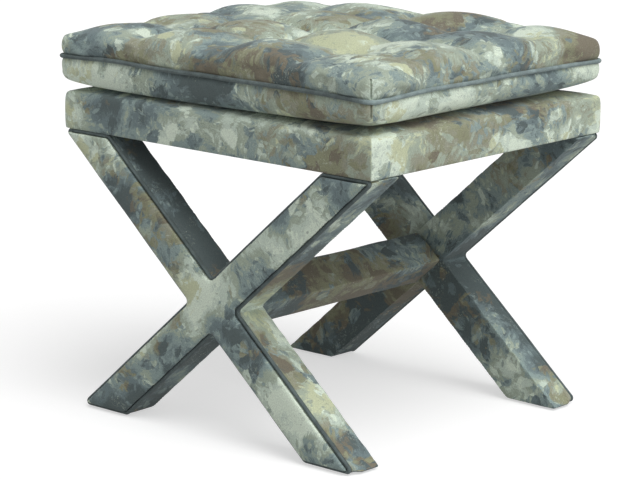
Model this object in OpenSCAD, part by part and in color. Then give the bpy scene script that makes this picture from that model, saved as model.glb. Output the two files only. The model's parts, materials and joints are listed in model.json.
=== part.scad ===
// Tufted ottoman: a padded seat box on two X frames joined by a diamond stretcher,
// with a sewn biscuit cushion tied down through the deck. Origin on the floor, centred.

/* [Seat box] */
// Width of the covered seat box
box_w = 508; // [470:2:580]
// Depth of the covered seat box
box_d = 432; // [390:2:500]
// Height of the underside of the seat box above the floor
box_base_z = 356; // [330:2:390]
// Height of the upright side, up to the start of the padded shoulder
box_side_h = 34; // [32:1:46]
// Radius of the padded shoulder
shoulder_r = 12; // [9:1:16]
// Rise of the padded crown above the shoulder
crown_rise = 13; // [10:1:22]
// Exponent of the crown, where a higher one is flatter in the middle
crown_squareness = 9; // [6:1:12]
// Thickness of the padding between the rails and the cover
box_pad_t = 3.8; // [2.4:0.2:6]
// How far the cover turns in under the rails
turn_under = 20; // [14:1:24]
// Distance from the box edge to the edge of the dust cover
dust_inset = 6; // [4:1:10]

/* [Seat frame] */
// Thickness of a rail
rail_t = 20; // [18:1:24]
// Thickness of the plywood deck
deck_t = 9; // [6:1:11]
// Width of the rebate that the deck sits in
rebate_w = 10; // [7:1:12]
// Leg length of a triangular corner block
block_leg = 104; // [96:2:116]
// Diameter of a rail dowel
dowel_d = 6; // [5:0.5:7]
// Length of a rail dowel
dowel_len = 38; // [30:2:44]
// Depth of a dowel in the long rail
dowel_seat = 14; // [10:1:16]

/* [X frames] */
// Level width of an arm, as cut at the floor and under the box
arm_level_w = 80; // [75:1:88]
// Depth of a covered arm, front to back
arm_t = 46; // [42:1:54]
// How far the sharp upper corner of an arm would reach past the box, before it is rounded
arm_reach = 4.4; // [0:0.2:6]
// How far each foot stands in from the side of the box
foot_inset = 23; // [10:0.5:40]
// Thickness of the padding round the arms
frame_pad_t = 4.3; // [4.2:0.1:5.4]
// Radius of the sharp outline corners
tip_r = 5.5; // [5:0.5:12]
// Radius of the blunt outline corners
heel_r = 8; // [7:0.5:12]
// Radius of the cover where two arms meet
crotch_r = 3; // [2:0.5:6]
// Diameter of the welt round the outer face
frame_welt_d = 5; // [4:0.2:5.2]
// How far that welt stands out from the outer face
frame_welt_proud = 1; // [0.4:0.1:1.6]
// Radius of the long edges of the diamond stretcher
stretcher_edge_r = 6.5; // [6.5:0.5:9]

/* [Cushion] */
// How far the cushion reaches past the box on each side
cushion_overhang = 3; // [0:1:8]
// Height from the cushion's underside to the middle of its welt
cushion_low_h = 35; // [26:1:40]
// Height from the middle of the welt to the rim of the top
cushion_high_h = 24; // [20:1:34]
// Number of puffs along the width
puffs_x = 4; // [3:1:4]
// Number of puffs along the depth
puffs_y = 4; // [3:1:4]
// Height of a puff above its valleys
puff_h = 12; // [6:1:16]
// Rise of the valleys from the rim to the middle
valley_rise = 12; // [6:1:18]
// Depth of a tuft below the valleys
tuft_dip = 8; // [4:1:12]
// How much the rim rises beside each puff
rim_wave = 4; // [0:1:6]
// How far each side is drawn in at its middle
side_pull = 6; // [0:1:10]
// Lift of the underside at the corners
corner_lift = 6; // [0:1:10]
// Diameter of the cushion welt
cushion_welt_d = 6.5; // [5:0.5:8]
// How far the cushion welt stands out past the cover
cushion_welt_proud = 1.2; // [0.6:0.2:2]
// Thickness of the fibre fill above and below the foam
fill_t = 12; // [9:1:14]

/* [Cloth and small parts] */
// Thickness of the woven cover
cover_t = 1.2; // [0.8:0.1:1.6]
// Thickness of the dust cover
dust_t = 0.6; // [0.4:0.1:1]
// Diameter of a tuft twine
twine_d = 2; // [1.5:0.1:2.6]
// Diameter of the washer that ties a twine off under the deck
tuft_washer_d = 24; // [18:1:30]
// Thickness of that washer
tuft_washer_t = 2; // [1.5:0.1:3]
// Diameter of a leg bolt
bolt_d = 8; // [6:0.5:8]
// Depth of a leg bolt in the arm
bolt_depth = 26; // [20:1:27]
// Diameter of a leg bolt washer
bolt_washer_d = 15; // [14:0.5:17]
// Diameter of a glide
glide_d = 24; // [18:1:30]
// Height of a glide under the foot
glide_h = 3; // [2:0.5:6]
// Length of a glide nail above the glide
glide_nail_len = 20; // [16:1:30]
// Diameter of a stretcher screw
frame_screw_d = 6; // [5:0.5:7]
// Length of a stretcher screw
frame_screw_len = 74; // [66:1:90]

/* [Hidden] */
$fn = 48;

overrun = 2;
fit_gap = 0.3;
soft_gap = 0.3;

print_colour = [0.62, 0.68, 0.62];
welt_colour = [0.36, 0.45, 0.48];
timber_colour = "burlywood";
ply_colour = "tan";
foam_colour = "khaki";
fibre_colour = "white";
steel_colour = "silver";
dust_colour = [0.16, 0.16, 0.17];
twine_colour = "wheat";

// Seat box levels and sizes
box_layer = cover_t + box_pad_t;
rail_base_z = box_base_z + dust_t + cover_t;
shoulder_z = box_base_z + box_side_h;
rail_h = shoulder_z - rail_base_z;
deck_base_z = shoulder_z - deck_t;
shoulder_arc = 60;
shoulder_steps = 5;
crown_steps = 7;
crown_start_z = shoulder_z + shoulder_r * sin(shoulder_arc);
crown_top_z = crown_start_z + crown_rise;
rail_w = box_w - 2 * box_layer;
rail_d = box_d - 2 * box_layer;
inner_w = rail_w - 2 * rail_t;
inner_d = rail_d - 2 * rail_t;
deck_w = inner_w + 2 * rebate_w;
deck_d = inner_d + 2 * rebate_w;
deck_screw_d = 4;
deck_screw_head_d = 8;
deck_screw_len = 22;
deck_screw_edge = rebate_w / 2;
deck_screw_shares = [-0.8, 0, 0.8];
dowel_z_shares = [0.22, 0.53];
dowel_side = rail_t * 0.4;

// X frame outline
arm_top_z = box_base_z;
foot_z = glide_h;
half_top = box_w / 2 + arm_reach;
half_foot = box_w / 2 - foot_inset;
lean = (half_top + half_foot - arm_level_w) / (arm_top_z - foot_z);
frame_layer = cover_t + frame_pad_t;
cross_z = arm_top_z - (half_top - arm_level_w / 2) / lean;
arc_steps = 5;
least_r = 0.4;
welt_sides = 8;

// Leg bolts, from the inner top corner of each arm
bolt_from_heel = 14;
bolt_pitch = 17;
bolt_hole_d = bolt_d + fit_gap;
bolt_side = box_layer + rail_t + bolt_washer_d / 2 + fit_gap;
bolt_washer_t = 1.6;
bolt_nut_w = 14;
bolt_nut_t = 6;
bolt_end = 1;
nut_room = fit_gap + bolt_end + bolt_nut_t + bolt_washer_t;
block_t = rail_h - deck_t - nut_room;
block_top_z = rail_base_z + block_t;

// Stretcher screws
frame_screw_head_d = 12;
frame_screw_head_t = 4;
frame_screw_pitch = 22;
glide_nail_d = 3;
glide_edge = 1;

// Cushion levels: offsets inward from the welt line, and heights
cushion_half_w = box_w / 2 + cushion_overhang;
cushion_half_d = box_d / 2 + cushion_overhang;
cushion_base_z = crown_top_z + soft_gap;
cushion_welt_z = cushion_base_z + cushion_low_h;
rim_z = cushion_welt_z + cushion_high_h;
rim_inset = 5;
bulge_inset = 0.8;
seam_inset = 3;
seam_rise = cushion_welt_d / 2 + soft_gap;
groove_inset = cushion_welt_d - cushion_welt_proud + soft_gap;
bulge_share = 0.6;
belly_share = 0.85;
corner_r = 9;
edge_squareness = 10;
puff_round = 0.62;
lift_power = 4;
cell_shares = [0, 0.1, 0.35, 0.65, 0.9];
cushion_welt_sides = 6;
foam_inset = 22;
foam_base_z = cushion_base_z + fill_t;
foam_top_z = rim_z - fill_t;
twine_hole_d = twine_d + 2 * soft_gap;
knot_d = 3 * twine_d;

function unit(v) = v / norm(v);
function turned(v, a) = [v[0] * cos(a) - v[1] * sin(a), v[0] * sin(a) + v[1] * cos(a)];
function wrapped(list, k) = list[(k + len(list)) % len(list)];

// Arc of radius r that rounds the corner b between a and c
function corner_arc(a, b, c, r) =
    let (
        u = unit(a - b),
        w = unit(c - b),
        half = acos(u * w) / 2,
        centre = b + unit(u + w) * r / sin(half),
        from = b + u * r / tan(half) - centre,
        to = b + w * r / tan(half) - centre,
        way = sign(from[0] * to[1] - from[1] * to[0])
    )
    [for (k = [0:arc_steps]) centre + turned(from, way * (180 - 2 * half) * k / arc_steps)];

function rounded(corners, radii) = [
    for (i = [0:len(corners) - 1])
        each corner_arc(wrapped(corners, i - 1), corners[i], wrapped(corners, i + 1), radii[i])
];

// Level width that an inset of e takes from a leaning edge
function level(e) = e * sqrt(1 + lean * lean);
function falling_left(z, e) = -half_top + (arm_top_z - z) * lean + level(e);
function falling_right(z, e) = -half_top + arm_level_w + (arm_top_z - z) * lean - level(e);

// Radius of an outer corner after an inset of e
function inset_r(r, e) = max(r - e, least_r);

// Outline of the whole X, inset by e
function x_outline(e) =
    let (
        top = arm_top_z - e,
        base = foot_z + e,
        side = arm_level_w / 2 - level(e),
        rise = side / lean,
        tip = inset_r(tip_r, e),
        heel = inset_r(heel_r, e),
        crotch = crotch_r + e
    )
    rounded(
        [
            [falling_left(top, e), top], [falling_right(top, e), top], [0, cross_z + rise],
            [-falling_right(top, e), top], [-falling_left(top, e), top], [side, cross_z],
            [falling_right(base, e), base], [falling_left(base, e), base], [0, cross_z - rise],
            [-falling_left(base, e), base], [-falling_right(base, e), base], [-side, cross_z]
        ],
        [tip, heel, crotch, heel, tip, crotch, tip, heel, crotch, heel, tip, crotch]
    );

// Outline of the falling arm alone, inset by e
function arm_outline(e) =
    let (top = arm_top_z - e, base = foot_z + e, tip = inset_r(tip_r, e), heel = inset_r(heel_r, e))
    rounded(
        [
            [falling_left(top, e), top], [falling_right(top, e), top],
            [falling_right(base, e), base], [falling_left(base, e), base]
        ],
        [tip, heel, tip, heel]
    );

// Diamond section of the stretcher, which fills the crossing of the arms
function diamond(e) =
    let (side = arm_level_w / 2 - level(e), rise = side / lean, r = stretcher_edge_r - e)
    rounded(
        [[side, cross_z], [0, cross_z + rise], [-side, cross_z], [0, cross_z - rise]],
        [r, r, r, r]
    );

// Side profile of the padded box for a given full width, inset by e
function box_half(w, e) =
    let (
        r = shoulder_r - e,
        start_x = w / 2 - shoulder_r + r * cos(shoulder_arc),
        start_z = shoulder_z + r * sin(shoulder_arc),
        rise = crown_top_z - e - start_z
    )
    concat(
        [for (k = [0:shoulder_steps]) let (a = shoulder_arc * k / shoulder_steps)
            [w / 2 - shoulder_r + r * cos(a), shoulder_z + r * sin(a)]],
        [for (k = [1:crown_steps]) let (s = cos(90 * k / crown_steps))
            [start_x * s, start_z + rise * (1 - pow(s, crown_squareness))]]
    );

function box_profile(w, e, base) =
    let (half = box_half(w, e), n = len(half))
    concat(
        [[-half[0][0], base], [half[0][0], base]],
        half,
        [for (k = [2:n]) [-half[n - k][0], half[n - k][1]]]
    );

// Shares from -1 to 1 of the grid lines across n puffs
function grid_shares(n) = [for (b = [0:n - 1], s = cell_shares) -1 + 2 * (b + s) / n, 1];
us = grid_shares(puffs_x);
vs = grid_shares(puffs_y);
nu = len(us);
nv = len(vs);
tuft_us = [for (k = [1:puffs_x - 1]) -1 + 2 * k / puffs_x];
tuft_vs = [for (k = [1:puffs_y - 1]) -1 + 2 * k / puffs_y];
rim = concat(
    [for (i = [0:nu - 2]) [i, 0]], [for (j = [0:nv - 2]) [nu - 1, j]],
    [for (i = [nu - 1:-1:1]) [i, nv - 1]], [for (j = [nv - 1:-1:1]) [0, j]]
);
nr = len(rim);

// Plan position of a grid place, drawn in along the sides and rounded at the corners
function plan(u, v, inset) =
    let (cut = abs(u) == 1 && abs(v) == 1 ? corner_r * (1 - sqrt(1 / 2)) : 0)
    [
        u * (cushion_half_w - inset - cut - side_pull * (1 - v * v)),
        v * (cushion_half_d - inset - cut - side_pull * (1 - u * u))
    ];
function swell(s, n) = pow(abs(sin(90 * n * (s + 1))), puff_round);
function near_edge(s) = pow(abs(s), edge_squareness);
function on_valley(s, n) = abs(swell(s, n)) < cell_shares[1] && abs(s) < 1;
function top_z(u, v) =
    rim_z + valley_rise * (1 - near_edge(u)) * (1 - near_edge(v))
    + puff_h * swell(u, puffs_x) * swell(v, puffs_y)
    + rim_wave * (near_edge(u) * swell(v, puffs_y) + near_edge(v) * swell(u, puffs_x))
    - (on_valley(u, puffs_x) && on_valley(v, puffs_y) ? tuft_dip : 0);
function base_z(u, v) = cushion_base_z + corner_lift * pow(abs(u * v), lift_power);

// Points of the cushion's surfaces, e inside the outer face
function top_points(e) = [
    for (v = vs, u = us) let (p = plan(u, v, rim_inset + e)) [p[0], p[1], top_z(u, v) - e]
];
function ring(inset, heights) = [
    for (k = [0:nr - 1])
        let (p = plan(us[rim[k][0]], vs[rim[k][1]], inset)) [p[0], p[1], heights[k]]
];
rim_heights = [for (q = rim) top_z(us[q[0]], vs[q[1]])];
base_heights = [for (q = rim) base_z(us[q[0]], vs[q[1]])];
function level_ring(inset, z) = ring(inset, [for (q = rim) z]);
function upper_rings(e) = concat(
    ring(bulge_inset + e, [for (z = rim_heights) cushion_welt_z + (z - cushion_welt_z) * bulge_share]),
    level_ring(seam_inset + e, cushion_welt_z + seam_rise)
);
function lower_rings(e) = concat(
    level_ring(seam_inset + e, cushion_welt_z - seam_rise),
    ring(bulge_inset + e, [for (z = base_heights) cushion_welt_z + (z - cushion_welt_z) * bulge_share]),
    ring(rim_inset + e, [for (z = base_heights) z + e])
);
function base_points(e) = concat(
    [for (q = rim) let (p = plan(us[q[0]], vs[q[1]], rim_inset + e))
        [p[0] * belly_share, p[1] * belly_share, cushion_base_z + e]],
    [[0, 0, cushion_base_z + e]]
);

// Triangles: the top grid, a band between two rings, and a fan to one point
function grid_faces() = [
    for (j = [0:nv - 2], i = [0:nu - 2]) let (a = j * nu + i)
        each [[a, a + nu, a + nu + 1], [a, a + nu + 1, a + 1]]
];
function band(upper, lower) = [
    for (k = [0:nr - 1]) let (n = (k + 1) % nr)
        each [[upper[k], upper[n], lower[n]], [upper[k], lower[n], lower[k]]]
];
function fan(loop, tip) = [for (k = [0:nr - 1]) [loop[k], loop[(k + 1) % nr], tip]];
function loop_from(start) = [for (k = [0:nr - 1]) start + k];
function flipped(faces, shift) = [for (f = faces) [f[2] + shift, f[1] + shift, f[0] + shift]];
rim_loop = [for (q = rim) q[1] * nu + q[0]];

// Closed tube of radius r round a closed path, with its section kept level to up
module closed_tube(path, up, r, sides) {
    n = len(path);
    points = [
        for (i = [0:n - 1])
            let (
                along = unit(wrapped(path, i + 1) - wrapped(path, i - 1)),
                across = unit(cross(along, up)),
                over = cross(across, along)
            )
            for (k = [0:sides - 1])
                path[i] + r * (cos(360 * k / sides) * across + sin(360 * k / sides) * over)
    ];
    faces = [
        for (i = [0:n - 1], k = [0:sides - 1])
            let (
                a = i * sides + k,
                b = i * sides + (k + 1) % sides,
                c = ((i + 1) % n) * sides + (k + 1) % sides,
                d = ((i + 1) % n) * sides + k
            )
            each [[a, b, c], [a, c, d]]
    ];
    polyhedron(points, faces);
}

// Upright plate cut to an outline in X and Z, between two depths from the outer face
module plate(outline, from, to) {
    translate([0, to - box_d / 2, 0]) rotate([90, 0, 0]) linear_extrude(to - from) polygon(outline);
}
module at_rear() {
    rotate([0, 0, 180]) children();
}
module at_corners() {
    for (flip_x = [0, 1], flip_y = [0, 1])
        mirror([flip_x, 0, 0]) mirror([0, flip_y, 0]) children();
}
module at_tufts() {
    for (u = tuft_us, v = tuft_vs) let (p = plan(u, v, rim_inset))
        translate([p[0], p[1], 0]) children();
}
module twine_holes(from, to) {
    at_tufts() translate([0, 0, from]) cylinder(h = to - from, d = twine_hole_d, $fn = 16);
}

// Seat box
module box_solid(e, base) {
    intersection() {
        translate([0, box_d / 2, 0]) rotate([90, 0, 0]) linear_extrude(box_d)
            polygon(box_profile(box_w, e, base));
        rotate([90, 0, 90]) translate([0, 0, -box_w / 2]) linear_extrude(box_w)
            polygon(box_profile(box_d, e, base));
    }
}
module foam_space() {
    block_in(
        2 * (cushion_half_w - foam_inset), 2 * (cushion_half_d - foam_inset), foam_base_z, foam_top_z
    );
}
module block_in(w, d, from, to) {
    translate([-w / 2, -d / 2, from]) cube([w, d, to - from]);
}
module seat_cover() {
    color(print_colour) difference() {
        box_solid(0, box_base_z + dust_t);
        box_solid(cover_t, rail_base_z);
        block_in(box_w - 2 * turn_under, box_d - 2 * turn_under, box_base_z, rail_base_z + overrun);
        twine_holes(shoulder_z, crown_top_z + overrun);
    }
}
module seat_wadding() {
    color(fibre_colour) difference() {
        box_solid(cover_t, rail_base_z);
        box_solid(box_layer, rail_base_z - overrun);
        twine_holes(shoulder_z, crown_top_z + overrun);
    }
}
module deck_foam() {
    color(foam_colour) difference() {
        box_solid(box_layer, shoulder_z);
        twine_holes(shoulder_z - overrun, crown_top_z + overrun);
    }
}
module deck_screw_places() {
    for (sx = [-1, 1], s = deck_screw_shares)
        translate([sx * (deck_w / 2 - deck_screw_edge), s * inner_d / 2, 0]) children();
    for (sy = [-1, 1], s = deck_screw_shares)
        translate([s * inner_w / 2, sy * (deck_d / 2 - deck_screw_edge), 0]) children();
}
module deck_screw_form(gap) {
    head_t = (deck_screw_head_d - deck_screw_d) / 2;
    translate([0, 0, shoulder_z - deck_screw_len - gap])
        cylinder(h = deck_screw_len + gap, d = deck_screw_d);
    translate([0, 0, shoulder_z - head_t])
        cylinder(h = head_t + gap, d1 = deck_screw_d, d2 = deck_screw_head_d + 2 * gap);
}
module deck_panel() {
    color(ply_colour) difference() {
        block_in(deck_w - 2 * fit_gap, deck_d - 2 * fit_gap, deck_base_z, shoulder_z);
        twine_holes(deck_base_z - overrun, shoulder_z + overrun);
        deck_screw_places() deck_screw_form(0);
    }
}
module deck_screws() {
    color(steel_colour) deck_screw_places() deck_screw_form(0);
}
module rail_cuts() {
    block_in(deck_w, deck_d, deck_base_z, shoulder_z + overrun);
    deck_screw_places() deck_screw_form(0);
    at_corners() dowel_forms();
}
module long_rail() {
    difference() {
        translate([-rail_w / 2, -rail_d / 2, rail_base_z]) cube([rail_w, rail_t, rail_h]);
        rail_cuts();
    }
}
module short_rail() {
    difference() {
        translate([-rail_w / 2, -inner_d / 2, rail_base_z]) cube([rail_t, inner_d, rail_h]);
        rail_cuts();
    }
}
module front_rail() {
    color(timber_colour) long_rail();
}
module rear_rail() {
    color(timber_colour) at_rear() long_rail();
}
module left_rail() {
    color(timber_colour) short_rail();
}
module right_rail() {
    color(timber_colour) at_rear() short_rail();
}
module dowel_forms() {
    for (s = dowel_z_shares)
        translate([-rail_w / 2 + dowel_side, -inner_d / 2 - dowel_seat, rail_base_z + s * rail_h])
            rotate([-90, 0, 0]) cylinder(h = dowel_len, d = dowel_d);
}
module rail_dowels() {
    color(timber_colour) at_corners() dowel_forms();
}
module corner_blocks() {
    color(ply_colour) at_corners() difference() {
        translate([-inner_w / 2, -inner_d / 2, rail_base_z])
            linear_extrude(block_t) polygon([[0, 0], [block_leg, 0], [0, block_leg]]);
        leg_bolt_places() translate([0, 0, rail_base_z - overrun])
            cylinder(h = block_t + 2 * overrun, d = bolt_hole_d);
    }
}
module dust_cover() {
    color(dust_colour) difference() {
        block_in(box_w - 2 * dust_inset, box_d - 2 * dust_inset, box_base_z, box_base_z + dust_t);
        at_corners() leg_bolt_places() leg_bolt_hole();
    }
}

// Two bolts hold the top of each arm to its corner block
module leg_bolt_places() {
    first_x = falling_right(arm_top_z, 0) - bolt_from_heel;
    for (k = [0, 1])
        translate([first_x - k * bolt_pitch, -box_d / 2 + bolt_side, 0]) children();
}
module leg_bolt_hole() {
    translate([0, 0, arm_top_z - bolt_depth]) cylinder(h = bolt_depth + block_t, d = bolt_hole_d);
}
module leg_bolts() {
    end_z = block_top_z + bolt_washer_t + bolt_nut_t + bolt_end;
    color(steel_colour) at_corners() leg_bolt_places() translate([0, 0, arm_top_z - bolt_depth])
        cylinder(h = end_z - arm_top_z + bolt_depth, d = bolt_d);
}
module leg_nuts() {
    color(steel_colour) at_corners() leg_bolt_places() translate([0, 0, block_top_z]) difference() {
        union() {
            cylinder(h = bolt_washer_t, d = bolt_washer_d);
            cylinder(h = bolt_washer_t + bolt_nut_t, d = bolt_nut_w, $fn = 6);
        }
        translate([0, 0, -overrun])
            cylinder(h = bolt_washer_t + bolt_nut_t + 2 * overrun, d = bolt_d);
    }
}

// X frames, drawn at the front and turned round for the rear
module stretcher_screw_forms() {
    for (s = [-1, 1])
        translate([0, -box_d / 2 + frame_layer, cross_z + s * frame_screw_pitch / 2]) rotate([-90, 0, 0]) {
            cylinder(h = frame_screw_len, d = frame_screw_d);
            cylinder(h = frame_screw_head_t, d = frame_screw_head_d);
        }
}
module glide_places() {
    for (s = [-1, 1])
        translate([s * (falling_right(foot_z, 0) - arm_level_w / 2), (arm_t - box_d) / 2, 0]) children();
}
module frame_cuts() {
    stretcher_screw_forms();
    for (s = [0, 1]) mirror([s, 0, 0]) leg_bolt_places() leg_bolt_hole();
    glide_places() cylinder(h = glide_h + glide_nail_len, d = glide_nail_d);
}
module arm_plate(from, to) {
    plate(arm_outline(frame_layer), from, to);
}
module falling_arm() {
    difference() {
        arm_plate(frame_layer, arm_t - frame_layer);
        mirror([1, 0, 0]) arm_plate(0, arm_t / 2);
        frame_cuts();
    }
}
module rising_arm() {
    difference() {
        mirror([1, 0, 0]) arm_plate(frame_layer, arm_t - frame_layer);
        arm_plate(arm_t / 2, arm_t);
        frame_cuts();
    }
}
module frame_wadding() {
    welt_seat = frame_welt_d - frame_welt_proud;
    difference() {
        union() {
            plate(x_outline(frame_welt_d), cover_t, arm_t / 2);
            plate(x_outline(cover_t), welt_seat, arm_t - cover_t);
        }
        plate(x_outline(frame_layer), frame_layer, arm_t - frame_layer);
        frame_cuts();
    }
}
module face_cover() {
    plate(x_outline(frame_welt_d), 0, cover_t);
}
module wrap_cover() {
    difference() {
        plate(x_outline(0), frame_welt_d - frame_welt_proud, arm_t);
        plate(x_outline(cover_t), 0, arm_t - cover_t);
        frame_cuts();
    }
}
module frame_welt() {
    welt_r = frame_welt_d / 2;
    depth = -box_d / 2 + welt_r - frame_welt_proud;
    closed_tube([for (p = x_outline(welt_r)) [p[0], depth, p[1]]], [0, 1, 0], welt_r, welt_sides);
}
module front_rising_arm() { color(timber_colour) rising_arm(); }
module front_falling_arm() { color(timber_colour) falling_arm(); }
module front_frame_wadding() { color(fibre_colour) frame_wadding(); }
module front_face_cover() { color(print_colour) face_cover(); }
module front_wrap_cover() { color(print_colour) wrap_cover(); }
module front_frame_welt() { color(welt_colour) frame_welt(); }
module rear_rising_arm() { color(timber_colour) at_rear() rising_arm(); }
module rear_falling_arm() { color(timber_colour) at_rear() falling_arm(); }
module rear_frame_wadding() { color(fibre_colour) at_rear() frame_wadding(); }
module rear_face_cover() { color(print_colour) at_rear() face_cover(); }
module rear_wrap_cover() { color(print_colour) at_rear() wrap_cover(); }
module rear_frame_welt() { color(welt_colour) at_rear() frame_welt(); }

// Stretcher between the inner faces of the two X frames
module stretcher_bar(e) {
    plate(diamond(e), arm_t, box_d - arm_t);
}
module stretcher_hollow(e) {
    plate(diamond(e), arm_t - overrun, box_d - arm_t + overrun);
}
module stretcher_core() {
    color(timber_colour) difference() {
        stretcher_bar(frame_layer);
        stretcher_screw_forms();
        at_rear() stretcher_screw_forms();
    }
}
module stretcher_wadding() {
    color(fibre_colour) difference() {
        stretcher_bar(cover_t);
        stretcher_hollow(frame_layer);
    }
}
module stretcher_cover() {
    color(print_colour) difference() {
        stretcher_bar(0);
        stretcher_hollow(cover_t);
    }
}
module stretcher_screws() {
    color(steel_colour) {
        stretcher_screw_forms();
        at_rear() stretcher_screw_forms();
    }
}
module glide_forms() {
    glide_places() {
        cylinder(h = glide_edge, d1 = glide_d - 2 * glide_edge, d2 = glide_d);
        translate([0, 0, glide_edge]) cylinder(h = glide_h - glide_edge, d = glide_d);
        cylinder(h = glide_h + glide_nail_len, d = glide_nail_d);
    }
}
module glides() {
    color(dust_colour) {
        glide_forms();
        at_rear() glide_forms();
    }
}

// Cushion
module cushion_foam() {
    color(foam_colour) difference() {
        foam_space();
        twine_holes(foam_base_z - overrun, foam_top_z + overrun);
    }
}
module fill_body(e) {
    first = nu * nv;
    upper = concat(upper_rings(e), level_ring(groove_inset + seam_inset, cushion_welt_z));
    points = concat(top_points(e), upper, lower_rings(e), base_points(e));
    loops = [rim_loop, for (k = [0:6]) loop_from(first + k * nr)];
    faces = concat(
        grid_faces(),
        [for (k = [0:6]) each band(loops[k], loops[k + 1])],
        fan(loops[7], len(points) - 1)
    );
    polyhedron(points, faces);
}
module cushion_fill() {
    color(fibre_colour) difference() {
        fill_body(cover_t + soft_gap);
        foam_space();
        twine_holes(cushion_base_z - overrun, rim_z + valley_rise + puff_h);
    }
}
// A shell from its outer and inner points, its faces and the loop of its open edge
module shell(outer, inner, faces, edge) {
    n = len(outer);
    polyhedron(
        concat(outer, inner),
        concat(faces, flipped(faces, n), band(edge, [for (k = edge) k + n]))
    );
}
module cushion_top_cover() {
    first = nu * nv;
    faces = concat(
        grid_faces(), band(rim_loop, loop_from(first)), band(loop_from(first), loop_from(first + nr))
    );
    color(print_colour) shell(
        concat(top_points(0), upper_rings(0)),
        concat(top_points(cover_t), upper_rings(cover_t)),
        faces,
        loop_from(first + nr)
    );
}
module cushion_bottom_cover() {
    faces = concat(
        [for (k = [0:2]) each band(loop_from(k * nr), loop_from((k + 1) * nr))],
        fan(loop_from(3 * nr), 4 * nr)
    );
    edge = loop_from(0);
    color(print_colour) shell(
        concat(lower_rings(0), base_points(0)),
        concat(lower_rings(cover_t), base_points(cover_t)),
        faces,
        [for (k = [nr - 1:-1:0]) edge[k]]
    );
}
module cushion_welt() {
    welt_r = cushion_welt_d / 2;
    path = level_ring(welt_r - cushion_welt_proud, cushion_welt_z);
    color(welt_colour) closed_tube(path, [0, 0, 1], welt_r, cushion_welt_sides);
}
module tuft_twines() {
    knot_z = deck_base_z - tuft_washer_t - knot_d / 2;
    color(twine_colour) for (u = tuft_us, v = tuft_vs)
        let (p = plan(u, v, rim_inset), end_z = top_z(u, v) - cover_t - soft_gap)
        translate([p[0], p[1], 0]) {
            translate([0, 0, knot_z]) cylinder(h = end_z - knot_z, d = twine_d);
            translate([0, 0, knot_z]) sphere(d = knot_d);
        }
}
module tuft_washers() {
    color(steel_colour) at_tufts() translate([0, 0, deck_base_z - tuft_washer_t]) difference() {
        cylinder(h = tuft_washer_t, d = tuft_washer_d);
        translate([0, 0, -overrun]) cylinder(h = tuft_washer_t + 2 * overrun, d = twine_hole_d);
    }
}

seat_cover();
seat_wadding();
deck_foam();
deck_panel();
deck_screws();
front_rail();
rear_rail();
left_rail();
right_rail();
rail_dowels();
corner_blocks();
dust_cover();
leg_bolts();
leg_nuts();
front_rising_arm();
front_falling_arm();
front_frame_wadding();
front_face_cover();
front_wrap_cover();
front_frame_welt();
rear_rising_arm();
rear_falling_arm();
rear_frame_wadding();
rear_face_cover();
rear_wrap_cover();
rear_frame_welt();
stretcher_core();
stretcher_wadding();
stretcher_cover();
stretcher_screws();
glides();
cushion_foam();
cushion_fill();
cushion_top_cover();
cushion_bottom_cover();
cushion_welt();
tuft_twines();
tuft_washers();
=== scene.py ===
import json
import math

import bpy
import numpy as np
from bpy.props import FloatProperty, FloatVectorProperty, IntProperty, PointerProperty
from mathutils import Matrix, Vector, noise


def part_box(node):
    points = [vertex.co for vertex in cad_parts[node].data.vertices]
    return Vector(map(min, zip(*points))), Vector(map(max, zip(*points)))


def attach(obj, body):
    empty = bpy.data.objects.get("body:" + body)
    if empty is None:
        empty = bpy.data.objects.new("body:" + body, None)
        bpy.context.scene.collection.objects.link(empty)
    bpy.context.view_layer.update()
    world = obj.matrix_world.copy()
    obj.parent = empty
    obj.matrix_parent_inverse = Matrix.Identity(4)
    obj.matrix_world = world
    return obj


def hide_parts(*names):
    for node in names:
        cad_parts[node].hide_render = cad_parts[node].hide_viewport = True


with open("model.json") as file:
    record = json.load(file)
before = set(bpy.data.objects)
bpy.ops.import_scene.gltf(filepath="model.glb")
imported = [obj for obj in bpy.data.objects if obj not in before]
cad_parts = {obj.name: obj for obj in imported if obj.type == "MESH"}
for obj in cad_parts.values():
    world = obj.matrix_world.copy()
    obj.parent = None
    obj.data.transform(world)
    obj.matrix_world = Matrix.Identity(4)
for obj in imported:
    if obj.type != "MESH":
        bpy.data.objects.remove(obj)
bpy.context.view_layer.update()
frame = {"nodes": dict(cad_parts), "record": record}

bl_info = {
    "name": "Tufted Ottoman",
    "version": (1, 0, 0),
    "blender": (4, 5, 0),
    "location": "3D View > Sidebar > Ottoman",
    "description": "Covers, cushion, welts and finishes of a tufted ottoman, fitted on its frame",
    "category": "Object",
}

MM = 0.001

# Places read from the frame
SEAT_LOW, SEAT_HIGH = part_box("seat_cover")
RAIL_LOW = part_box("front_rail")[0]
DECK_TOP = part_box("deck_panel")[1].z
WELT_LOW, WELT_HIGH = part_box("cushion_welt")
BELLY_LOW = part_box("cushion_bottom_cover")[0]
ARM_LOW, ARM_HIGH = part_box("front_wrap_cover")
BAR_LOW, BAR_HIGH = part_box("stretcher_cover")
DUST_LOW, DUST_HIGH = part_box("dust_cover")
FRAME_WELT_LOW, FRAME_WELT_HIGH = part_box("front_frame_welt")


def length(name, description, default, low, high):
    """A length, given in mm."""
    return FloatProperty(
        name=name, description=description, default=default * MM, min=low * MM, max=high * MM,
        subtype="DISTANCE", unit="LENGTH")


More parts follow.
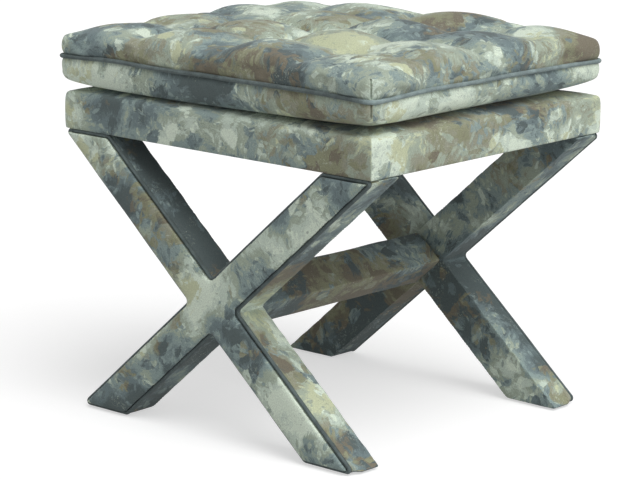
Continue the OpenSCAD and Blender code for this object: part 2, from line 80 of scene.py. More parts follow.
class OttomanSizes(bpy.types.PropertyGroup):
    """Sizes of the soft parts."""

    puff_rise: length("Puff rise", "Height of a puff above its valleys", 10, 4, 20)
    valley_height: length("Valley height", "Height of the valleys above the cushion welt", 32, 20, 45)
    tuft_dip: length("Tuft dip", "Depth of a tuft below the valleys", 8, 0, 15)
    puffs: IntProperty(
        name="Puffs", description="Number of puffs along each side", default=4, min=2, max=6)
    side_pull: length(
        "Side pull", "How far each side of the cushion is drawn in at its middle", 9, 0, 15)
    corner_lift: length("Corner lift", "Lift of the cushion's underside at its corners", 9.5, 0, 16)
    panel_crown: length("Panel crown", "Rise of the padded face of an X frame", 6, 0, 8)
    arm_width: length("Arm width", "Width of an arm measured level", 80, 60, 90)
    arm_reach: length(
        "Arm reach", "How far an arm's sharp upper corner would reach past the box", 4.4, 0, 6)
    foot_inset: length(
        "Foot inset", "How far each foot stands in from the side of the box", 23, 0, 40)


def colour(name, description, default):
    return FloatVectorProperty(
        name=name, description=description, default=default, size=3, min=0, max=1, subtype="COLOR")


class OttomanColours(bpy.types.PropertyGroup):
    """Colours of the cloths and the hidden parts."""

    charcoal: colour("Charcoal", "Darkest green of the print", (0.1, 0.13, 0.13))
    slate: colour("Slate", "Slate blue of the print", (0.165, 0.218, 0.225))
    teal: colour("Teal grey", "Grey teal of the print", (0.265, 0.34, 0.325))
    sage: colour("Sage", "Grey green of the print", (0.365, 0.425, 0.34))
    mint: colour("Mint", "Pale green of the print", (0.54, 0.63, 0.54))
    bone: colour("Bone", "Palest colour of the print", (0.68, 0.77, 0.645))
    umber: colour("Umber", "Dark brown of the print", (0.19, 0.17, 0.125))
    taupe: colour("Taupe", "Warm grey of the print", (0.305, 0.31, 0.235))
    olive: colour("Olive", "Olive of the print", (0.27, 0.28, 0.18))
    straw: colour("Straw", "Pale yellow green of the print", (0.54, 0.58, 0.39))
    welt: colour("Welt", "Cloth of the welts", (0.15, 0.19, 0.19))
    timber: colour("Timber", "Pale hardwood of the frame", (0.60, 0.42, 0.24))
    plywood: colour("Plywood", "Deck panel and blocks", (0.52, 0.36, 0.20))
    dust: colour("Dust cloth", "Bonded cloth under the seat", (0.018, 0.018, 0.02))


# Handling of pieces

def enter_edit():
    bpy.ops.object.mode_set(mode="EDIT")


def leave_edit():
    bpy.ops.object.mode_set(mode="OBJECT")


def clear_selection():
    if bpy.context.object and bpy.context.object.mode != "OBJECT":
        leave_edit()
    bpy.ops.object.select_all(action="DESELECT")


def take(piece):
    clear_selection()
    piece.select_set(True)
    bpy.context.view_layer.objects.active = piece


def edit_whole(piece):
    """Enters edit mode with all of a piece selected."""
    take(piece)
    enter_edit()
    bpy.ops.mesh.select_all(action="SELECT")


def name_piece(piece, name):
    piece.name = name
    piece.data.name = name
    return piece


def apply_placing():
    bpy.ops.object.transform_apply(location=True, rotation=True, scale=True)


def size_piece(name, scale):
    """Names the primitive just added and gives it its size."""
    piece = bpy.context.object
    piece.scale = scale
    apply_placing()
    return name_piece(piece, name)


def block(name, low, high):
    """A box between two corners, to be shaped further."""
    clear_selection()
    low, high = Vector(low), Vector(high)
    bpy.ops.mesh.primitive_cube_add(size=1, location=(low + high) / 2)
    return size_piece(name, high - low)


def select_edges(piece, test, seams_only=False):
    """Selects the edges that pass a test on their two ends, and stays in edit mode."""
    take(piece)
    enter_edit()
    bpy.ops.mesh.select_mode(type="EDGE")
    bpy.ops.mesh.select_all(action="DESELECT")
    leave_edit()
    points = piece.data.vertices
    for edge in piece.data.edges:
        wanted = edge.use_seam or not seams_only
        edge.select = wanted and test(*(points[i].co for i in edge.vertices))
    enter_edit()


def runs_along(axis):
    def test(a, b):
        way = b - a
        return abs(way[axis]) > 0.9 * way.length
    return test


def split_along(piece, axis, cuts):
    select_edges(piece, runs_along(axis))
    bpy.ops.mesh.subdivide(number_cuts=cuts)
    leave_edit()


# Cuts of a fine grid along the width and the depth
GRID_CUTS = (63, 53)


def fine_block(name, cuts):
    """A cube from -1 to 1, split into a fine grid with the given cuts upwards."""
    piece = block(name, (-1, -1, -1), (1, 1, 1))
    for axis, number in enumerate((*GRID_CUTS, cuts)):
        split_along(piece, axis, number)
    return piece


def round_edges(piece, test, width, segments=5, seams_only=False):
    select_edges(piece, test, seams_only)
    bpy.ops.mesh.bevel(offset=width, offset_type="OFFSET", segments=segments, affect="EDGES")
    leave_edit()


def triples(items, key):
    """Three numbers of every point or face, as rows."""
    values = np.empty(len(items) * 3)
    items.foreach_get(key, values)
    return values.reshape(-1, 3)


def counts(items, key):
    """One whole number of every corner or face."""
    values = np.empty(len(items), dtype=np.int32)
    items.foreach_get(key, values)
    return values


def points_of(piece):
    return triples(piece.data.vertices, "co")


def normals_of(piece):
    return triples(piece.data.vertices, "normal")


def set_points(piece, points):
    piece.data.vertices.foreach_set("co", np.ascontiguousarray(points, dtype=np.float64).ravel())
    piece.data.update()


def apply_modifier(piece, kind, **settings):
    """Adds a modifier with its settings and applies it."""
    modifier = piece.modifiers.new(kind.title(), kind)
    for key, value in settings.items():
        setattr(modifier, key, value)
    take(piece)
    bpy.ops.object.modifier_apply(modifier=modifier.name)


def subdivide_smooth(piece):
    apply_modifier(piece, "SUBSURF", levels=1, render_levels=1, boundary_smooth="PRESERVE_CORNERS")


def combine(piece, other, way):
    """Joins two closed pieces or cuts the second out of the first, and removes the second."""
    apply_modifier(piece, "BOOLEAN", operation=way, solver="EXACT", object=other)
    bpy.data.objects.remove(other)


def remesh(piece, voxel):
    take(piece)
    piece.data.remesh_voxel_size = voxel
    bpy.ops.object.voxel_remesh()


def relax(piece):
    edit_whole(piece)
    bpy.ops.mesh.vertices_smooth(factor=0.5, repeat=1)
    leave_edit()


def face_outwards(piece):
    edit_whole(piece)
    bpy.ops.mesh.remove_doubles(threshold=0.01 * MM)
    bpy.ops.mesh.normals_make_consistent(inside=False)
    leave_edit()


def cut_behind(piece, y, keep_front):
    """Cuts a closed piece across at a place along Y and closes the cut."""
    edit_whole(piece)
    bpy.ops.mesh.bisect(plane_co=(0, y, 0), plane_no=(0, 1, 0), use_fill=True,
                        clear_outer=keep_front, clear_inner=not keep_front)
    leave_edit()


def smooth_faces(piece, angle):
    take(piece)
    bpy.ops.object.shade_smooth_by_angle(angle=math.radians(angle))


def turned_copy(piece, name):
    """A copy turned half round the upright axis, with its own mesh."""
    copy = piece.copy()
    copy.data = piece.data.copy()
    bpy.context.collection.objects.link(copy)
    name_piece(copy, name)
    copy.rotation_euler = (0, 0, math.pi)
    take(copy)
    apply_placing()
    return copy


def ripple(points, wavelength, seed):
    """Soft random waves from -1 to 1 at each point."""
    shift = Vector((seed * 7.3, seed * 3.1, seed * 5.7))
    return np.array([noise.noise(Vector(p) / wavelength + shift) for p in points])


def smooth_step(low, high, value):
    t = np.clip((value - low) / (high - low), 0, 1)
    return t * t * (3 - 2 * t)


def soft_min(a, b, reach):
    h = np.clip(0.5 + 0.5 * (b - a) / reach, 0, 1)
    return b + (a - b) * h - reach * h * (1 - h)


def swelling(depth, reach, power):
    """0 at an edge and 1 from a reach inwards, along a rounded curve."""
    return 1 - (1 - np.clip(depth / reach, 0, 1)) ** power


def lay_cloth(piece, place):
    """Writes the cloth coordinates of each face corner, in metres, into the UV map."""
    mesh = piece.data
    for layer in list(mesh.uv_layers):
        mesh.uv_layers.remove(layer)
    layer = mesh.uv_layers.new(name="cloth")
    points = points_of(piece)[counts(mesh.loops, "vertex_index")]
    corners = counts(mesh.polygons, "loop_total")
    centres, normals = (
        np.repeat(triples(mesh.polygons, key), corners, axis=0) for key in ("center", "normal"))
    layer.data.foreach_set("uv", np.stack(place(points, centres, normals), axis=1).ravel())


def cut_piece(u, v, start, turn):
    """Places a panel on the bolt of cloth: where it is cut, and how it is turned."""
    c, s = math.cos(math.radians(turn)), math.sin(math.radians(turn))
    return start[0] + u * c - v * s, start[1] + u * s + v * c


def paint_light_and_shade(piece, light_and_shade_of):
    """Writes painted light and shade for each face: how much lighter or darker its colour is made where
    light falls on it or shade lies on it.
    """
    faces = piece.data.polygons
    tone = light_and_shade_of(triples(faces, "center"), triples(faces, "normal"))
    layer = piece.data.attributes.new("painted_light_and_shade", "FLOAT", "FACE")
    layer.data.foreach_set("value", np.ascontiguousarray(tone, dtype=np.float32))


def dress(piece, slot, nodes, fill=None):
    """Gives a finished piece the material of its slot and its body, and hides the nodes that it stands
    for.
    """
    piece.data.materials.clear()
    piece.data.materials.append(FINISHES[slot])
    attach(piece, "root")
    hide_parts(*nodes)


# Node groups and materials

class Nodes:
    """Adds nodes to a tree, and links or sets their sockets."""

    def __init__(self, tree):
        self.tree = tree

    def add(self, kind, inputs=None, **settings):
        made = self.tree.nodes.new(kind)
        for key, value in settings.items():
            setattr(made, key, value)
        self.feed(made.inputs, inputs or {})
        return made

    def feed(self, sockets, values):
        for key, value in values.items():
            if isinstance(value, bpy.types.NodeSocket):
                self.tree.links.new(value, sockets[key])
            else:
                sockets[key].default_value = value

    def calc(self, operation, *values):
        return self.add("ShaderNodeMath", dict(enumerate(values)), operation=operation).outputs[0]

    def plus(self, a, b):
        return self.calc("ADD", a, b)

    def times(self, a, b):
        return self.calc("MULTIPLY", a, b)

    def swing(self, value, width, about=0.0):
        """A value from 0 to 1, spread over a width about another value."""
        return self.calc("MULTIPLY_ADD", self.calc("SUBTRACT", value, 0.5), width, about)

    def vector(self, operation, a, b):
        return self.add("ShaderNodeVectorMath", {0: a, 1: b}, operation=operation).outputs[0]

    def scaled(self, vector, factor):
        return self.add(
            "ShaderNodeVectorMath", {0: vector, "Scale": factor}, operation="SCALE").outputs[0]

    def noise(self, vector, scale, detail=2.0, roughness=0.5, distortion=0.0, output="Fac"):
        return self.add("ShaderNodeTexNoise", {
            "Vector": vector, "Scale": scale, "Detail": detail, "Roughness": roughness,
            "Distortion": distortion}).outputs[output]

    def cells(self, vector, scale):
        return self.add(
            "ShaderNodeTexVoronoi", {"Vector": vector, "Scale": scale}, feature="F1").outputs

    def between(self, value, low, high, to_low=0.0, to_high=1.0):
        """Takes a range of values smoothly into another one."""
        return self.add("ShaderNodeMapRange", {
            "Value": value, "From Min": low, "From Max": high, "To Min": to_low, "To Max": to_high},
            interpolation_type="SMOOTHSTEP").outputs[0]

    def mix(self, share, a, b, way="MIX"):
        made = self.add("ShaderNodeMix", data_type="RGBA", blend_type=way)
        a, b = (c if isinstance(c, bpy.types.NodeSocket) else (*c[:3], 1) for c in (a, b))
        self.feed(made.inputs, {0: share, 6: a, 7: b})
        return made.outputs[2]

    def ramp(self, value, stops, plateau=0.0):
        """Ramp through colours. A plateau keeps each colour flat for a while before the next."""
        if plateau:
            stops = [(place + side * plateau, shade) for place, shade in stops for side in (-1, 1)]
        made = self.add("ShaderNodeValToRGB", {0: value})
        ramp = made.color_ramp
        while len(ramp.elements) < len(stops):
            ramp.elements.new(0.5)
        for element, (place, shade) in zip(ramp.elements, stops):
            element.position = place
            element.color = (*shade[:3], 1)
        return made.outputs[0]

    def parts(self, shade):
        return self.add("ShaderNodeSeparateColor", {0: shade}).outputs

    def place(self):
        return self.add("ShaderNodeTexCoord").outputs["Object"]

    # Painted light and shade of each face, as written by paint_light_and_shade
    def painted_light_and_shade(self):
        return self.add(
            "ShaderNodeAttribute", attribute_name="painted_light_and_shade", attribute_type="GEOMETRY").outputs["Fac"]

    def group(self, tree, inputs):
        return self.add("ShaderNodeGroup", inputs, node_tree=tree).outputs

    def relief(self, height, strength, distance):
        return self.add("ShaderNodeBump", {
            "Height": height, "Strength": strength, "Distance": distance}).outputs[0]

    def surface(self, inputs):
        """Ends a material in a principled shader."""
        shader = self.add("ShaderNodeBsdfPrincipled", inputs)
        self.add("ShaderNodeOutputMaterial", {"Surface": shader.outputs[0]})


def new_group(name, numbers, results):
    """A group with a vector and the given numbers as inputs, and with the given results."""
    tree = bpy.data.node_groups.new(name, "ShaderNodeTree")
    tree.interface.new_socket("Vector", in_out="INPUT", socket_type="NodeSocketVector")
    for label, value in numbers.items():
        socket = tree.interface.new_socket(label, in_out="INPUT", socket_type="NodeSocketFloat")
        socket.default_value = value
    for label, kind in results.items():
        tree.interface.new_socket(label, in_out="OUTPUT", socket_type="NodeSocket" + kind)
    g = Nodes(tree)
    return g, g.add("NodeGroupInput").outputs, g.add("NodeGroupOutput").inputs


def wander(g, vector, scale, reach):
    """Shifts a vector by noise, which makes edges ragged."""
    shift = g.vector("SUBTRACT", g.noise(vector, scale, output="Color"), (0.5, 0.5, 0.5))
    return g.vector("ADD", vector, g.scaled(shift, reach))


def brush_patch(g, cloth, scale, seed):
    """Coordinates that turn from patch to patch, so that each patch has its own brush direction."""
    placed = g.vector("ADD", cloth, (seed * 3.1, seed * 5.3, 0.0))
    patch = g.cells(placed, scale)
    angle = g.times(g.parts(patch["Color"])[0], math.tau)
    turned = g.add("ShaderNodeVectorRotate", {
        "Vector": g.vector("SUBTRACT", placed, patch["Position"]), "Angle": angle},
        rotation_type="Z_AXIS").outputs[0]
    return g.vector("ADD", turned, g.scaled(patch["Color"], 3.0))


def dab_layer(g, cloth, scale, stretch, seed, patch_scale):
    """Brush dabs: random numbers for each dab, how well it covers, and its bristle marks."""
    turned = brush_patch(g, cloth, patch_scale, seed)
    dab = g.cells(g.vector("MULTIPLY", turned, (1.0, stretch, 1.0)), scale)
    bristle = g.noise(g.vector("MULTIPLY", turned, (90.0, 900.0, 1.0)), 1.0, 3.0, 0.65)
    cover = g.between(g.plus(dab["Distance"], g.times(bristle, 0.5)), 0.72, 0.65)
    return g.parts(dab["Color"]), cover, bristle


def painted_print(colours):
    """All-over print of broad washes, brushed dabs, dry strokes and flecks."""
    g, given, result = new_group("painted print", {"Painted light and shade": 0.0}, {"Color": "Color", "Paint": "Float"})
    flowing = wander(g, given["Vector"], 8.0, 0.045)
    ragged = wander(g, wander(g, flowing, 60.0, 0.011), 260.0, 0.0035)

    # Broad washes of tone and of warmth, with large and small dabs on them
    wash = g.noise(ragged, 7.0, 3.0, 0.55)
    warmth = g.noise(g.vector("ADD", ragged, (3.7, 8.1, 1.3)), 6.0, 3.0, 0.5)
    big, big_cover, big_bristle = dab_layer(g, ragged, 30.0, 1.6, 1.0, 14.0)
    small, small_cover, small_bristle = dab_layer(g, ragged, 74.0, 2.2, 2.0, 34.0)
    broad = g.plus(g.swing(wash, 3.3, 0.53), g.swing(big[0], g.times(big_cover, 0.78)))
    streaks = g.swing(big_bristle, 0.26, g.swing(small_bristle, 0.30))
    fine = g.plus(g.swing(small[0], g.times(small_cover, 0.44)), streaks)
    # The print's own tone, plus the painted light and shade of each face
    tone = g.plus(g.plus(broad, fine), given["Painted light and shade"])
    cool = g.ramp(tone, [
        (0.05, colours.charcoal), (0.26, colours.slate), (0.44, colours.teal),
        (0.58, colours.sage), (0.73, colours.mint), (0.92, colours.bone)], 0.045)
    warm = g.ramp(tone, [
        (0.05, colours.umber), (0.30, colours.olive), (0.48, colours.taupe),
        (0.66, colours.sage), (0.88, colours.straw)], 0.045)
    warm_share = g.between(g.swing(big[1], 0.10, g.swing(small[1], 0.08, warmth)), 0.52, 0.56)
    painted = g.mix(warm_share, cool, warm)

    # Dry brush: broken flecks of pale paint on the wash, and dark scratches between dabs
    scatter = g.between(g.noise(flowing, 22.0), 0.50, 0.68)
    fleck = g.between(g.noise(ragged, 330.0, 4.0, 0.75), 0.55, 0.64)
    painted = g.mix(g.times(g.times(fleck, scatter), 0.50), painted, colours.bone)
    shade = g.between(g.noise(ragged, 270.0, 4.0, 0.75), 0.44, 0.36)
    hollow = g.between(g.noise(flowing, 17.0), 0.54, 0.40)
    painted = g.mix(g.times(g.times(shade, hollow), 0.45), painted, colours.charcoal)
    g.feed(result, {"Color": painted, "Paint": small_cover})
    return g.tree


def woven_grain():
    """Fine plain weave with slubs, as a height and a slight change of shade."""
    g, given, result = new_group(
        "woven grain", {"Threads": 900.0}, {"Height": "Float", "Shade": "Float"})
    cloth = given["Vector"]
    parts = g.add("ShaderNodeSeparateXYZ", {0: g.scaled(cloth, given["Threads"])}).outputs
    warp, weft = (g.calc("ABSOLUTE", g.calc("SINE", g.times(parts[i], math.pi))) for i in (0, 1))
    thread = g.calc("MAXIMUM", warp, weft)
    slub = g.noise(g.vector("MULTIPLY", cloth, (240.0, 1500.0, 1.0)), 1.0)
    nap = g.noise(cloth, 1400.0, 3.0, 0.7)
    grit = g.noise(cloth, 560.0, 2.0, 0.8)
    height = g.plus(g.times(thread, 0.35), g.plus(g.times(slub, 0.5), g.times(nap, 0.8)))
    shade = g.times(g.between(nap, 0.3, 0.7, 0.90, 1.10), g.between(grit, 0.25, 0.75, 0.84, 1.16))
    g.feed(result, {"Height": height, "Shade": shade})
    return g.tree


def wood_grain():
    """Long grain and pores along X, as a mask."""
    g, given, result = new_group("wood grain", {}, {"Grain": "Float"})
    rings = g.noise(g.vector("MULTIPLY", given["Vector"], (3.0, 60.0, 60.0)), 1.0, 4.0, 0.6, 0.4)
    pores = g.noise(g.vector("MULTIPLY", given["Vector"], (30.0, 700.0, 700.0)), 1.0)
    g.feed(result, {"Grain": g.between(g.plus(g.times(rings, 0.75), g.times(pores, 0.25)), 0.35, 0.65)})
    return g.tree


def new_material(name):
    material = bpy.data.materials.new(name)
    material.use_nodes = True
    material.node_tree.nodes.clear()
    return material, Nodes(material.node_tree)


def toned(shade, factor):
    """A colour made lighter or darker."""
    return tuple(min(1, c * factor) for c in shade)


def cloth_surface(g, base, level, roughness, sheen, relief):
    """What all cloths share: shade of the threads, low gloss and a little sheen."""
    grey = g.add("ShaderNodeCombineColor", {0: level, 1: level, 2: level}).outputs[0]
    g.surface({
        "Base Color": g.mix(1.0, base, grey, "MULTIPLY"), "Roughness": roughness,
        "Specular IOR Level": 0.25, "Sheen Weight": sheen, "Sheen Roughness": 0.5, "Normal": relief})


def printed_cloth(groups):
    material, g = new_material("printed cloth")
    cloth = g.add("ShaderNodeUVMap", uv_map="cloth").outputs[0]
    # Painted light and shade of each face makes the print lighter or darker
    paint = g.group(groups["print"], {"Vector": cloth, "Painted light and shade": g.painted_light_and_shade()})
    grain = g.group(groups["weave"], {"Vector": cloth, "Threads": 900.0})
    roughness = g.between(paint["Paint"], 0.0, 1.0, 0.92, 0.80)
    relief = g.relief(grain["Height"], 0.35, 0.4 * MM)
    cloth_surface(g, paint["Color"], grain["Shade"], roughness, 0.12, relief)
    return material


def plain_cloth(name, shade, threads, groups, sheen=0.1):
    material, g = new_material(name)
    place = g.place()
    grain = g.group(groups["weave"], {"Vector": place, "Threads": threads})
    worn = g.noise(place, 55.0, 3.0, 0.6)
    base = g.mix(g.between(worn, 0.35, 0.65), toned(shade, 0.84), toned(shade, 1.16))
    # Shade of the threads, times the painted light and shade of each face
    level = g.times(grain["Shade"], g.plus(g.painted_light_and_shade(), 1.0))
    relief = g.relief(grain["Height"], 0.4, 0.4 * MM)
    cloth_surface(g, base, level, g.between(worn, 0.2, 0.8, 0.94, 0.84), sheen, relief)
    return material


def wood(name, shade, groups):
    material, g = new_material(name)
    grain = g.group(groups["wood"], {"Vector": g.place()})["Grain"]
    g.surface({
        "Base Color": g.mix(grain, toned(shade, 0.72), shade),
        "Roughness": g.between(grain, 0.0, 1.0, 0.72, 0.58), "Normal": g.relief(grain, 0.2, 0.3 * MM)})
    return material


def plated_steel():
    material, g = new_material("zinc plated steel")
    spangle = g.noise(g.place(), 900.0, 3.0, 0.6)
    g.surface({
        "Base Color": g.ramp(spangle, [(0.3, (0.52, 0.53, 0.55)), (0.7, (0.70, 0.71, 0.73))]),
        "Metallic": 1.0, "Roughness": g.between(spangle, 0.3, 0.7, 0.42, 0.30)})
    return material


def moulded_plastic(name, shade):
    material, g = new_material(name)
    grain = g.noise(g.place(), 1600.0, 2.0, 0.6)
    g.surface({
        "Base Color": g.mix(g.between(grain, 0.3, 0.7), shade, toned(shade, 1.3)),
        "Roughness": g.between(grain, 0.3, 0.7, 0.42, 0.52), "Normal": g.relief(grain, 0.15, 0.2 * MM)})
    return material


def foam_or_fibre(name, shade, size):
    material, g = new_material(name)
    pores = g.cells(g.place(), size)["Distance"]
    g.surface({
        "Base Color": g.mix(g.between(pores, 0.1, 0.5), toned(shade, 0.78), shade),
        "Roughness": 0.95, "Normal": g.relief(pores, 0.4, 0.6 * MM)})
    return material


FINISHES = {}


def make_finishes():
    """One material for each slot of the record."""
    colours = bpy.context.scene.ottoman_colours
    groups = {"print": painted_print(colours), "weave": woven_grain(), "wood": wood_grain()}
    FINISHES.update(
        print_fabric=printed_cloth(groups),
        welt_fabric=plain_cloth("welt cloth", colours.welt, 1100.0, groups),
        dust_cloth=plain_cloth("dust cloth", colours.dust, 500.0, groups, 0.0),
        timber=wood("hardwood", colours.timber, groups),
        plywood=wood("plywood", colours.plywood, groups),
        zinc_steel=plated_steel(),
        glide_plastic=moulded_plastic("glide plastic", (0.02, 0.02, 0.022)),
        foam=foam_or_fibre("foam", (0.82, 0.74, 0.50), 900.0),
        fibre=foam_or_fibre("fibre", (0.84, 0.84, 0.81), 500.0),
        twine=plain_cloth("waxed twine", (0.66, 0.58, 0.42), 1500.0, groups, 0.0),
    )


# Cushion

# Half the width and depth at the fullest line, and the radius of the corners
CUSHION_HALF = (262.3 * MM, 220.5 * MM)
CUSHION_CORNER = 14 * MM

# It lies slightly to the left and front of the middle of the box
CUSHION_SHIFT = (-2.4 * MM, -2.6 * MM, 0)

# Height of each puff beside the mean in mm, from the front row to the rear one
PUFF_HEIGHTS = (
    (0, 1.5, 0.8, 0.5), (-4, 2.0, 1.9, -1.0), (-4.6, 0.8, 2.8, 0.5), (-6.4, 0.7, 4.6, 4.6))

# Slack places at the left edge: middle, depth and reach in mm
HOLLOWS = ((-223, -115, 5.5, 30), (-246, 147, 4.2, 22), (-183, 203, 3.5, 24))

# Side profile: share of the way, height from the welt and inset in mm
UPPER_SIDE = (
    (0, 0, 4.0), (1 / 8, 3.2, 3.0), (2 / 8, 6.0, 1.2), (3 / 8, 9.0, 0.5), (4 / 8, 12.0, 0.2),
    (5 / 8, 15.5, 0.3), (6 / 8, 19.0, 0.7), (7 / 8, 22.5, 1.6), (1, 25.0, 3.2))
LOWER_SIDE = (
    (0, 0, 4.0), (1 / 8, -3.2, 3.0), (2 / 8, -7, 1.0), (3 / 8, -12, 0.4), (4 / 8, -17, 0.6),
    (5 / 8, -21.5, 1.5), (6 / 8, -26, 3.2), (7 / 8, -30.3, 6.0), (1, -34, 10.5))
RIM, RIM_INSET = UPPER_SIDE[-1][1] * MM, UPPER_SIDE[-1][2] * MM
DEPTH_BELOW, TUCK = -LOWER_SIDE[-1][1] * MM, LOWER_SIDE[-1][2] * MM

# How far a tuft's dip, the bead of the rim, the dome of the top and the corners reach
TUFT_REACH = 14 * MM
BEAD_REACH = 9 * MM
DOME_REACH = 62 * MM
CORNER_REACH = 38 * MM

# What is held in the cloth simulation: beside the welt, below it and round each tuft
HELD_AT_WELT = 4.5 * MM
HELD_BELOW = 20 * MM
HELD_AT_TUFT = 7 * MM

CLOTH_SETTINGS = {
    "quality": 6, "mass": 0.3, "tension_stiffness": 30, "compression_stiffness": 30,
    "shear_stiffness": 10, "bending_stiffness": 1.5, "use_pressure": True,
    "uniform_pressure_force": 4, "shrink_min": -0.03}
CLOTH_FRAMES = 20
CLOTH_REACH = 4.5 * MM


class CushionForm:
    """Shape of the sewn cushion as a function of its plan place."""

    def __init__(self, sizes):
        self.sizes = sizes
        self.welt_z = (WELT_LOW.z + WELT_HIGH.z) / 2
        self.welt_d = WELT_HIGH.z - WELT_LOW.z
        self.half = CUSHION_HALF

    def plan(self, a, b, inset):
        """Plan place for shares a and b from -1 to 1, drawn in along the sides."""
        pull = self.sizes.side_pull
        x = a * (self.half[0] - inset - pull * (1 - b * b))
        y = b * (self.half[1] - inset - pull * (1 - a * a))
        cx, cy = (half - inset - CUSHION_CORNER for half in self.half)
        vx, vy = np.abs(x) - cx, np.abs(y) - cy
        inside = (vx > 0) & (vy > 0)
        share = np.maximum(vx, vy) / (np.hypot(vx, vy) + 1e-9)
        return (np.where(inside, np.sign(x) * (cx + vx * share), x),
                np.where(inside, np.sign(y) * (cy + vy * share), y))

    def to_edges(self, x, y, a, b, inset):
        """Distances inwards from the drawn-in sides."""
        pull = self.sizes.side_pull
        return (self.half[0] - inset - pull * (1 - b * b) - np.abs(x),
                self.half[1] - inset - pull * (1 - a * a) - np.abs(y))

    def swell(self, share):
        """0 on a valley and 1 on a puff, fading little towards the outer edge."""
        n = self.sizes.puffs
        wave = np.abs(np.sin(math.pi / 2 * n * (share + 1)))
        return np.where(np.abs(share) > 1 - 1 / n, 0.75 + 0.25 * wave, wave) ** 0.7

    def tuft_places(self):
        """Places of the tufts, as shares of the way."""
        rows = [-1 + 2 * i / self.sizes.puffs for i in range(1, self.sizes.puffs)]
        return [(a, b) for a in rows for b in rows]

    def tufts(self, a, b):
        """1 at each tuft, falling off round it."""
        dip = np.zeros_like(a)
        for tuft_a, tuft_b in self.tuft_places():
            dx, dy = (a - tuft_a) * self.half[0], (b - tuft_b) * self.half[1]
            dip += np.exp(-(dx * dx + dy * dy) / TUFT_REACH ** 2)
        return dip

    def drawn_out(self, a, b):
        """Shares of the way as the valleys see them: beyond the tufts they fan out."""
        rear, front, left = (smooth_step(0.4, 0.9, way) for way in (b, -b, -a))
        spread = np.where(a < 0, 0.16, 0.10)
        fanned_a = a - spread * np.sin(math.pi * a) * rear + 0.09 * np.cos(math.pi / 2 * a) * front
        return fanned_a, b - 0.16 * np.cos(math.pi / 2 * b) * left

    def edge_dips(self, a, b):
        """Valleys that run out over the edges, drawn tighter towards the left."""
        tight = np.clip(0.65 - 1.4 * a, 0.1, 2.1)
        over_x = (1 - self.swell(b)) * smooth_step(0.62, 0.85, np.abs(a))
        over_y = (1 - self.swell(a)) * smooth_step(0.62, 0.85, np.abs(b))
        return 4.5 * MM * tight * np.maximum(over_x, over_y)

    def middle_rise(self, a, b):
        """Height of the quilted top above the welt, away from the edges."""
        s = self.sizes
        dips = s.tuft_dip * self.tufts(a, b)
        a, b = self.drawn_out(a, b)
        puff = (s.puff_rise + puff_heights(a, b, s.puffs)) * self.swell(a) * self.swell(b)
        puff -= self.edge_dips(a, b)
        outer = np.maximum(np.abs(a), np.abs(b)) > 1 - 2 / s.puffs
        corner = np.minimum(np.abs(a), np.abs(b)) > 1 - 2 / s.puffs
        lower = 2 * MM * outer + 3 * MM * corner
        lower *= smooth_step(0, 0.5, self.swell(a) * self.swell(b))
        return s.valley_height + puff - lower - dips

    def top_rise(self, x, y, a, b):
        """Height of the top above the welt: a soft rim, then the quilted middle."""
        dx, dy = self.to_edges(x, y, a, b, RIM_INSET)
        inwards = np.maximum(soft_min(dx, dy, 7 * MM), 0)
        near_corner = np.exp(-(dx * dx + dy * dy) / (40 * MM) ** 2)
        bead = (6 - 4 * near_corner) * MM
        shoulder = bead * swelling(inwards, BEAD_REACH, 2) ** 0.5
        shoulder *= 0.55 + 0.45 * self.swell(a) * self.swell(b)
        dome = (self.middle_rise(a, b) - RIM - bead) * swelling(inwards, DOME_REACH, 2.3)
        return RIM + shoulder + dome - hollows(x, y) * smooth_step(0, 8 * MM, inwards)

    def wave(self, x, y):
        """Slight rise and fall of the seam line round the cushion."""
        near = np.array([noise.noise(Vector((px * 9, py * 9, 4.2))) for px, py in zip(x, y)])
        return near * 2.4 * MM


def hollows(x, y):
    """Shallow hollows where the cover is slack."""
    return sum(depth * MM * np.exp(-((x - px * MM) ** 2 + (y - py * MM) ** 2) / (reach * MM) ** 2)
               for px, py, depth, reach in HOLLOWS)


def puff_heights(a, b, n):
    """A small height of its own for each puff."""
    i, j = (np.clip(((share + 1) / 2 * n).astype(int), 0, n - 1) % 4 for share in (a, b))
    return np.array(PUFF_HEIGHTS)[j, i] * MM


def sitting(a, b):
    """The cushion sits a little higher along its right side and lower at its front left."""
    right = smooth_step(-0.95, -0.35, b) * smooth_step(0, 1, a)
    return (2.2 * right - 4.6 * smooth_step(0.9, -0.3, a)) * MM


